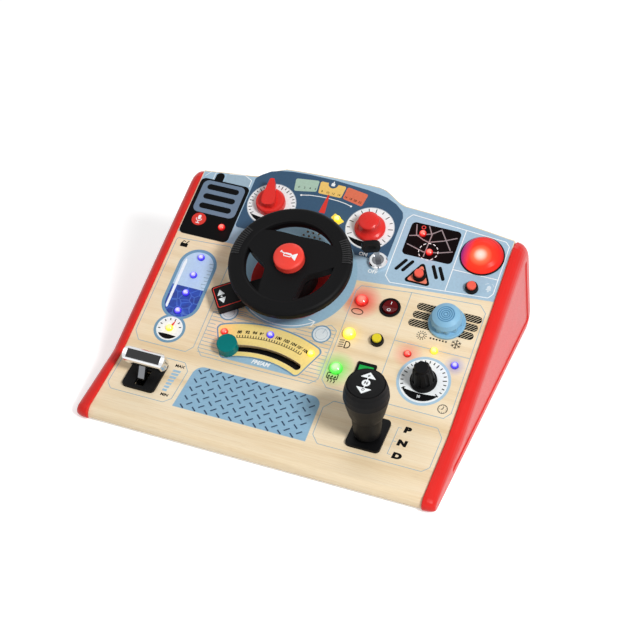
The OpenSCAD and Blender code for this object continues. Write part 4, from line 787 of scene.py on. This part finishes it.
film("lamp_icons", icons, ink_black, 0)
vent_ink = ink("vent_ink", "141516", 0.3, 0.05)
vent_half, vent_border, slat_step, slat_lean, slat_w, slat_points = 4.3, 0.4, 3.5, 9.0, 0.5, 20
vent_vs, vent_shift = (-104.5, -115.0, -125.5), 1.5
vents = [(u0, u1, v) for k, v in enumerate(vent_vs)
         for u0, u1 in ((287.5 - vent_shift * k, 312), (336, 359 - vent_shift * k))]


def slat(vent, u):
    """The part of a leaning slat line that lies inside a vent's round ends."""
    u0, u1, v = vent
    inside = []
    for k in range(-slat_points, slat_points + 1):
        p = Vector((u + slat_lean * k / (2 * slat_points), v + vent_half * k / slat_points))
        middle = Vector((min(max(p.x, u0 + vent_half), u1 - vent_half), v))
        if (p - middle).length < vent_half - vent_border:
            inside.append(tuple(p))
    return line([inside[0], inside[-1]], slat_w) if len(inside) > 4 else None


slats = [slat(vent, vent[0] + slat_step * k) for vent in vents
         for k in range(int((vent[1] - vent[0]) / slat_step) + 1)]
film("vents", [[box(u0, u1, v - vent_half, v + vent_half, vent_half - 0.1)] for u0, u1, v in vents],
     vent_ink, 0)
film("vent_lines", [drawn for drawn in slats if drawn], ink("vent_line_ink", "E0D0AE"), 1)
sun, ray_count = (303, -137.8), 12
climate = [ring(sun, 2.3, 3.0)]
climate += [line(spoke(sun, 2 * pi * k / ray_count, 3.8, 5.6), 0.8) for k in range(ray_count)]
climate_v, dot_step, dot_count = -138.6, 3.4, 6
climate += [[circle((313 + dot_step * k, climate_v), 1.05, 14)] for k in range(dot_count)]
flake, arm_count = Vector((341, climate_v)), 6
for k in range(arm_count):
    a = 2 * pi * k / arm_count + pi / arm_count
    way = Vector((cos(a), sin(a)))
    side = Vector((-way.y, way.x))
    climate.append(line([tuple(flake + way * 0.3), tuple(flake + way * 5.6)], 0.75))
    for s in (-1, 1):
        climate.append(line([tuple(flake + way * 3), tuple(flake + way * 4.8 + side * s * 1.7)], 0.6))
film("climate_icons", climate, ink_black, 1)
dial_at, dial_border_r, dial_r = (321.5, -189.0), 28.5, 25.6
film("dial_border", [[circle(dial_at, dial_border_r, dial_steps)]], ink("dial_rim_ink", "A7C6DA"), 1)
film("dial_face", [[circle(dial_at, dial_r, dial_steps)]], white, 2)
film("dial_marks", dial_ticks(dial_at, 24.2, 215, -35, 21, 4, 4.4, 3.0, 1.1)
     + [crescent(dial_at, 23.4, -12.8, 1.8)], ink_black, 3, words=[("0", (303.5, -202), 3, 0, 0.05, 0)])
film("dial_digits", [], white, 4, words=[("20", (dial_at[0], dial_at[1] - 18.6), 2.8, 0, 0.08, 0)])
clock = (350, -214.5)
film("clock_icon", [ring(clock, 4.6, 5.3), line([clock, (clock[0] + 0.6, clock[1] + 2.8)], 0.8),
                    line([clock, (clock[0] - 1.6, clock[1] - 0.6)], 0.8)]
     + dial_ticks(clock, 4.4, 90, -240, 12, 3, 1.3, 0.7, 0.4), ink_black, 1)

# Front strip print
# The prints at the front run over the bend: frames round both levers and a blue tread mat.
# Their films are cut at the bend and laid over its curve.
bend_r = 30.0
bend_reach = bend_r * tan((face_slope - front_slope) / 2)


def over_bend(u, s, n):
    """Place on the front strip and, past the bend, on the foot of the face."""
    if s <= -bend_reach:
        return Vector((u, s, n))
    hollow = Vector((0, -bend_reach, bend_r))
    turn = (face_slope - front_slope) * min((s + bend_reach) / (2 * bend_reach), 1.0)
    past = max(s - bend_reach, 0.0)
    return Vector((u, hollow.y + (bend_r - n) * sin(turn) + past * cos(turn),
                   hollow.z - (bend_r - n) * cos(turn) + past * sin(turn)))


bend_steps = 3
bend_cuts = [("v", bend_reach * k / bend_steps) for k in range(-bend_steps, bend_steps + 1)]


def front_film(name, shapes, finish, layer, words=()):
    return film(name, shapes, finish, layer, front_plane, words=words, cuts=bend_cuts, seat=over_bend)


mat_outline = rounded([(84, 4.5), (226, 4.5), (229.5, -54.5), (81.5, -54.5)], [11, 11, 0.5, 0.5])
front_film("tread_mat", [[mat_outline]], ink("tread_ink", "8EB5CE"), 0)
dash_l, dash_w, dash_step, dash_count, dash_in = 7.0, 1.6, 13.6, 11, 3
dash_lean, dash_flat = 0.72, 0.9
dash_reach = dash_l / 2 * dash_lean
mat_sides, mat_top_edge, mat_low_edge, mat_split, mat_corners = 312, 84.5, 82.8, -20, (94, 217)
dash_rows = [((-2.5, -15, -27, -39.5, -51.6), 91.0, -1), ((1.4, -9, -21.5, -33.5, -46), 97.4, 1)]
dashes = []
for rows, first, way in dash_rows:
    rise = dash_reach * way * dash_flat
    for s in rows:
        edge_u = (mat_top_edge if s > mat_split else mat_low_edge) + dash_in
        for u in [first + dash_step * k for k in range(dash_count)]:
            in_corner = s > 0 and not mat_corners[0] <= u <= mat_corners[1]
            if edge_u < u < mat_sides - edge_u and not in_corner:
                dashes.append(line([(u - dash_reach, s - rise), (u + dash_reach, s + rise)], dash_w))
front_film("tread_dashes", dashes, ink("tread_dash_ink", "2F4660", 0.3), 1)
throttle_frame = [(3.5, -4), (9, 4), (71, 4), (78, -6), (77, -46), (70, -53), (10, -53), (3.5, -46)]
front_film("throttle_rule", [line_round(rounded(throttle_frame, 3), rule_w)], rule_blue, 0)
bar_left, bar_right, bar_top, bar_h, bar_step, bar_less, bar_count = 62.6, 71.5, -8, 3, 4.6, 0.6, 7
bars = []
for k in range(bar_count):
    top, right = bar_top - bar_step * k, bar_right - bar_less * k
    bars.append([rounded([(bar_left, top), (right, top), (right - 0.5, top - bar_h),
                          (bar_left, top - bar_h)], 0.5)])
front_film("throttle_bars", bars, ink("bar_ink", "9FC3DA"), 0)
throttle_words = [(text, (67.5, s), 3.5, 0, 0.2, 0) for text, s in (("MAX", -2.2), ("MIN", -43.4))]
front_film("throttle_words", [], ink_black, 0, words=throttle_words)
gear_frame = [(231, -6), (239, 4.5), (352, 4.5), (359.5, -6), (359.5, -46), (353, -53), (242, -53),
              (233.5, -43)]
front_film("gear_rule", [line_round(rounded(gear_frame, 3), rule_w),
                         line([(317, -6.5), (313.5, -6.5), (313.5, -42.5), (317, -42.5)], 0.6),
                         line([(313.8, -25), (317, -25)], 0.6)], rule_blue, 0)
gear_places = (("P", 323.2, -7.5), ("N", 323.4, -25.4), ("D", 323.4, -42.6))
gear_words = [(text, (u, s), 7.0, 0, 0.8, 0.05, 1.28) for text, u, s in gear_places]
front_film("gear_words", [], ink_black, 0, words=gear_words)

# Steering column, wheel and horn
# A red disc and a black shroud are fixed to the face; the wheel turns on a steel shaft.
# It is one satin black moulding with fine thumb ribs, and the red horn button springs in its hub.
red = moulded("gloss_red", "DF2E28", 0.3, 900.0, 0.00005, 0.05)
soft_black = moulded("soft_black", "0E0E0F", 0.46, 1700.0, 0.00008, 0.0, 0.08)
# The disc's red is darker than the other reds: the wheel's shade is painted on it.
dress("column_disc", moulded("shaded_disc_red", "B5211F", 0.4, 900.0, 0.00005))
dress("column_shroud", black)
dress("steering_wheel", soft_black)
dress("horn_button", moulded("horn_red", "EB4236", 0.36, 1100.0, 0.00006, 0.1))

rim_top, rim_r, rim_mid, rim_edge_r = 42.7, 67.0, 57.5, 4.5
rib_t, rib_h, rib_step = 1.2, 1.3, 2.6
rib_start, rib_gap, rib_points = 56.5, 1.05, 10
rib_cut_start, rib_cut_step, rib_cut_count = 44, 2, 12


def lifted(plane, at, n=0.0):
    """A plane moved to a place on it and raised by n."""
    return plane @ Matrix.Translation((at[0], at[1], n))


wheel_plane = lifted(face_plane, wheel_at)


def along_rim(u, v, n):
    """Half sunk in the rim's rounded top."""
    inside = abs(hypot(u, v) - rim_mid) - (rim_r - rim_mid - rim_edge_r)
    fall = rim_edge_r - (rim_edge_r ** 2 - min(max(inside, 0), rim_edge_r) ** 2) ** 0.5
    return Vector((u, v, n + rim_top - fall - rib_h / 2))


ribs = []
rib_path = [rib_start + rib_gap * i for i in range(rib_points)]
for start, count in ((12.0, 11), (155.0, 13)):
    for k in range(count):
        a = radians(start + rib_step * k)
        way, side = Vector((cos(a), sin(a))), Vector((-sin(a), cos(a))) * rib_t / 2
        ribs.append([[tuple(way * r + side) for r in rib_path]
                     + [tuple(way * r - side) for r in reversed(rib_path)]])
# The ribs' black is lighter than the wheel's: a painted sheen that picks out their edges.
rib_sheen_black = moulded("rib_sheen_black", "242425", 0.3, 1700.0, 0.00004, 0.0, 0.3)
rib_cuts = [("u", s * (rib_cut_start + rib_cut_step * k)) for s in (-1, 1) for k in range(rib_cut_count)]
film("thumb_ribs", ribs, rib_sheen_black, 0, wheel_plane, "wheel", cuts=rib_cuts, seat=along_rim, thick=rib_h)

horn_r, horn_top, horn_crown, horn_limit = 16.5, 53.2, 3.5, 0.98
cut_step = 2.0
horn_cuts = [(axis, cut_step * k) for axis in "uv" for k in range(-5, 6)]


def on_horn(u, v, n):
    r = min(hypot(u, v) / horn_r, horn_limit)
    return Vector((u, v, n + horn_top - horn_crown * (1 - (1 - r * r) ** 0.5)))


coil = [(-4.6, -2.2), (2.6, -2.2), (4.4, -0.4), (2.6, 1.6), (-3.2, 1.6), (-4.8, 0)]
horn_shapes = [line([(-8.6, 2.6), (-6, 1.2), (3, 0.2), (6.4, -0.6)], 1.2),
               line_round(rounded(coil, 1.5), 1.0),
               [rounded([(4.6, 0.8), (4.6, -2.2), (9, -5.2), (9.6, 4.4)], 0.4)],
               line([(-9.2, 1.4), (-8.4, 3.8)], 1.4)]
film("horn_icon", horn_shapes, white, 0, wheel_plane, "horn", cuts=horn_cuts, seat=on_horn)

# Indicator stalk
# A flat black paddle swings behind the wheel, with a red outline and two white arrows on top.
dress("indicator_stalk", black)
stalk_dir, stalk_top, stalk_reach, paddle_l, paddle_w, outline_in = 216.0, 14.7, 89.0, 40.0, 29.0, 1.8
stalk_plane = lifted(face_plane, wheel_at, stalk_top) @ Matrix.Rotation(radians(stalk_dir), 4, "Z")
stalk_box = box(stalk_reach - paddle_l + outline_in, stalk_reach - outline_in, -paddle_w / 2 + outline_in,
                paddle_w / 2 - outline_in, 2)
film("stalk_outline", [line_round(stalk_box, 0.9)], red_ink, 0, stalk_plane, "stalk")
arrow_at, arrow_half, arrow_foot, arrow_l = 80.5, 4.3, 1.9, 7.0
arrows = [[rounded([(arrow_at - arrow_half, s * arrow_foot), (arrow_at + arrow_half, s * arrow_foot),
                    (arrow_at, s * (arrow_foot + arrow_l))], 0.3)] for s in (-1, 1)]
film("stalk_arrows", arrows + [[circle((arrow_at, 0), 1.0, dot_steps)]], white, 0, stalk_plane, "stalk")

# Knobs
# Four turning knobs pressed on steel spindles: two red, one sky blue and one black.
# The blue one has fine turned rings on its top, in a darker blue that paints the shade between them.
dress("pointer_knob volume_knob", red)
dress("fan_knob", moulded("sky_moulding", "84B5D3", 0.42, 1200.0, 0.00006))
dress("dial_knob", soft_black)
fan_at, fan_top = (324.5, -117.0), 20.0
ring_rs, ring_t = (2.2, 4.4, 6.6, 8.8), 0.55
rings = []
for r in ring_rs:
    bpy.ops.object.select_all(action="DESELECT")
    bpy.ops.mesh.primitive_torus_add(major_radius=r, minor_radius=ring_t,
                                     major_segments=48, minor_segments=10)
    rings.append(bpy.context.object)
for turned in rings:
    turned.select_set(True)
bpy.context.view_layer.objects.active = rings[0]
bpy.ops.object.join()
knob_rings = bpy.context.object
knob_rings.name = "fan_knob_rings"
bpy.ops.object.transform_apply(location=True, rotation=True, scale=True)
bpy.ops.object.shade_smooth()
knob_rings.data.transform(lifted(face_plane, fan_at, fan_top))
# The rings' darker blue is painted shade.
knob_rings.data.materials.append(moulded("ring_shaded_blue", "5488AE", 0.42, 1200.0, 0.00006))
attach(knob_rings, "fan")

# Lock and key
# A chromed lock barrel with a darker plug that turns; the key has a steel blade and a black grip.
smoked = metal("smoked_chrome", "7C7E82", 0.12, 300.0, 0.00001)
dress("lock_barrel", chrome)
dress("lock_plug", smoked)
dress("key_blade", steel)
dress("key_bow", black)

# Tuning slider
# A teal knob on a carriage that runs under the face along the curved slot.
dress("slider_knob", moulded("teal_moulding", "027574", 0.34, 1000.0, 0.00005, 0.0, 0.1))

# Levers
# Black plates are screwed over the gates of the front strip. The throttle is a chromed bar with
# a dark inlay; the gear lever is a satin black sleeve under a round knob with white marks.
dress("lever_plates", black)
dress("throttle_handle", chrome)
dress("throttle_stem", smoked)
dress("throttle_insert", moulded("gloss_black", "141416", 0.18, 800.0, 0.00003, 0.3))
lever_black = moulded("lever_black", "101011", 0.42, 1600.0, 0.00007, 0.0, 0.1)
dress("gear_stem gear_knob", lever_black)
gear_at, gear_top, gear_flat, gear_edge, gear_fall = (287.0, -27.0), 82.0, 14.27, 4.4, 0.6
gear_plane = lifted(front_plane, gear_at)
gear_cuts = [("v", cut_step * k) for k in range(-6, 7)]


def on_gear_top(u, v, n):
    drop = max(hypot(u, v) - gear_flat, 0.0) * gear_fall / gear_edge
    return Vector((u, v, n + gear_top - drop))


gear_marks = [[rounded([(-8.2, s * 6.6), (8.2, s * 6.6), (0, s * 14.4)], 0.4)] for s in (-1, 1)]
gear_marks += [[circle((0, 0), 4.3, 32)], line([(0, 3.8), (0, 7)], 1.0), line([(0, -3.8), (0, -7)], 1.0)]
film("gear_marks", gear_marks, white, 0, gear_plane, "gear", cuts=gear_cuts, seat=on_gear_top)
gear_letters = [("P", (0, 9), 3, 0, 0.12, 0), ("N", (0, 0), 3.8, 0, 0.14, 0), ("D", (0, -9), 3, 0, 0.12, 0)]
film("gear_letters", [], lever_black, 2, gear_plane, "gear", words=gear_letters, seat=on_gear_top)

# Rocker switches
# Snap-in black housings hold a clear red and a clear green rocker, which tip about a cross pin.
dress("rocker_housings", black)


def clear_plastic(name, code, glow):
    """Tinted clear plastic, lit a little from behind."""
    made, tree, shader = new_finish(name, Roughness=0.2, Specular_IOR_Level=0.1)
    tint = varied(tree, noise(tree, object_coordinates(tree), 240.0), hue(code), 0.85, 1.12)
    tree.links.new(tint, shader.inputs["Base Color"])
    tree.links.new(tint, shader.inputs["Emission Color"])
    shader.inputs["Emission Strength"].default_value = glow
    return made


dress("red_rocker", clear_plastic("red_clear", "5A060B", 0.08))
dress("green_rocker", clear_plastic("green_clear", "1E9A45", 0.15))
rocker_pivot, rocker_tilt, rocker_low, rocker_rise = -2.0, radians(8.0), 1.0, 3.0
rocker_marks = [[box(-0.4, 0.4, 3.2, 6.4, 0.1)], ring((0, -4.6), 1.4, 2.1)]
for body, at, half in (("round_rocker", (260.5, -115.0), 9.2), ("square_rocker", (259.5, -199.0), 10.4)):
    rocker_plane = (lifted(face_plane, at, rocker_pivot)
                    @ Matrix.Rotation(-rocker_tilt, 4, "X") @ Matrix.Translation((0, 0, -rocker_pivot)))

    def on_rocker(u, v, n, half=half):
        return Vector((u, v, n + rocker_low + (rocker_rise - rocker_low) * abs(v) / half))

    film(body + "_marks", rocker_marks, white, 0, rocker_plane, body, seat=on_rocker)

# Push buttons
# Three small sprung caps, moulded in salmon and yellow plastic, sit in black bezels.
dress("button_bezels", black)
dress("hazard_button siren_button", moulded("salmon_cap", "F0604F", 0.4, 1000.0, 0.00005))
dress("yellow_button", moulded("yellow_cap", "DDCB2C", 0.4, 1000.0, 0.00005))

# Lamps
# Clear domed lights glow from inside: brightest at the crown, deep coloured at the side.


def glowing(name, side, body, crown, strength):
    """A lit lens, graded from its side to its crown by how far its surface faces out."""
    made, tree, shader = new_finish(name, Roughness=0.2, Coat_Weight=0.1, Coat_Roughness=0.05)
    facing = add_node(tree, "VectorMath", operation="DOT_PRODUCT")
    facing.inputs[1].default_value = (0, -sin(face_slope), cos(face_slope))
    tree.links.new(add_node(tree, "NewGeometry").outputs["Normal"], facing.inputs[0])
    glow = ramp(tree, facing.outputs["Value"], [(0.1, hue(side)), (0.78, hue(body)), (1.0, hue(crown))])
    ripple = varied(tree, noise(tree, object_coordinates(tree), 500.0), plain_white, 0.8, 1.0)
    tree.links.new(mixed(tree, 0.2, glow, ripple, "MULTIPLY"), shader.inputs["Emission Color"])
    shader.inputs["Base Color"].default_value = (*hue(side), 1)
    shader.inputs["Emission Strength"].default_value = strength
    return made


dress("red_lamps", glowing("red_light", "7E0806", "DE1A14", "FF8A78", 1.3))
dress("yellow_lamps", glowing("yellow_light", "D8B020", "FAE646", "FFF9B4", 1.2))
dress("green_lamp", glowing("green_light", "2CA82C", "60E850", "C4FFAE", 1.3))
dress("blue_lamps", glowing("blue_light", "1C128C", "4A3CF4", "CFCBFF", 1.4))

# Lamps set in the print throw a small pool of their own colour on it.
pool_n, pool_soft = 12.0, 0.004
tank_lamp_at, tank_lamp_step, tank_lamp_count = (39.7, -110.3), 23.2, 4
tank_lamps = [(tank_lamp_at[0], tank_lamp_at[1] - tank_lamp_step * k) for k in range(tank_lamp_count)]
pools = [("red", "FF2A1A", 0.0025, [(266, -17.2), (280, -38.3), (47.3, -67.4), (98.5, -190.6)]),
         ("yellow", "FFC81E", 0.0015, [(38.7, -202.4), (168.7, -23.4), (197.5, -190.6), (321.5, -152.5),
                                       (228.8, -157)]),
         ("blue", "4A30FF", 0.001, tank_lamps + [(148, -181), (347.3, -163.2)])]
for name, code, watts, places in pools:
    for at in places:
        bpy.ops.object.light_add(type="POINT", location=face_plane @ Vector((*at, pool_n)))
        pool = bpy.context.object
        pool.name = name + "_pool"
        pool.data.color = hue(code)
        pool.data.energy = watts
        pool.data.shadow_soft_size = pool_soft

# Beacon
# A clear red dome over a light, held to the face by a dark ring.
dress("beacon_ring", black)
beacon_at, beacon_r, bulb_drop = (336.4, -28.0), 22.9, 5.0
beacon, tree, shader = new_finish("beacon_lens", Roughness=0.3, Specular_IOR_Level=0.1)
beacon_plane = lifted(face_plane, (beacon_at[0], beacon_at[1] - bulb_drop))
flat = add_node(tree, "VectorMath", operation="MULTIPLY")
flat.inputs[1].default_value = (1 / beacon_r, 1 / beacon_r, 0)
tree.links.new(plane_coordinates(tree, beacon_plane), flat.inputs[0])
reach = add_node(tree, "VectorMath", operation="LENGTH")
tree.links.new(flat.outputs["Vector"], reach.inputs[0])
glow = ramp(tree, reach.outputs["Value"],
            [(0.0, hue("FFF6EC")), (0.16, hue("FFE0CC")), (0.34, hue("FF7A50")),
             (0.55, hue("FF3E20")), (0.85, hue("EE2E1C")), (1.0, hue("C02020"))])
across = add_node(tree, "SeparateXYZ")
tree.links.new(flat.outputs["Vector"], across.inputs["Vector"])
violet = add_node(tree, "MapRange", From_Min=-0.45, From_Max=-0.95, To_Min=0.0, To_Max=0.85)
tree.links.new(across.outputs["X"], violet.inputs["Value"])
glow = mixed(tree, violet.outputs["Result"], glow, (*hue("4A2C86"), 1))
ripple = varied(tree, noise(tree, object_coordinates(tree), 160.0), plain_white, 0.75, 1.0)
tree.links.new(mixed(tree, 0.25, glow, ripple, "MULTIPLY"), shader.inputs["Emission Color"])
shader.inputs["Base Color"].default_value = (*hue("8E0F14"), 1)
shader.inputs["Emission Strength"].default_value = 1.0
dress("beacon_dome", beacon)
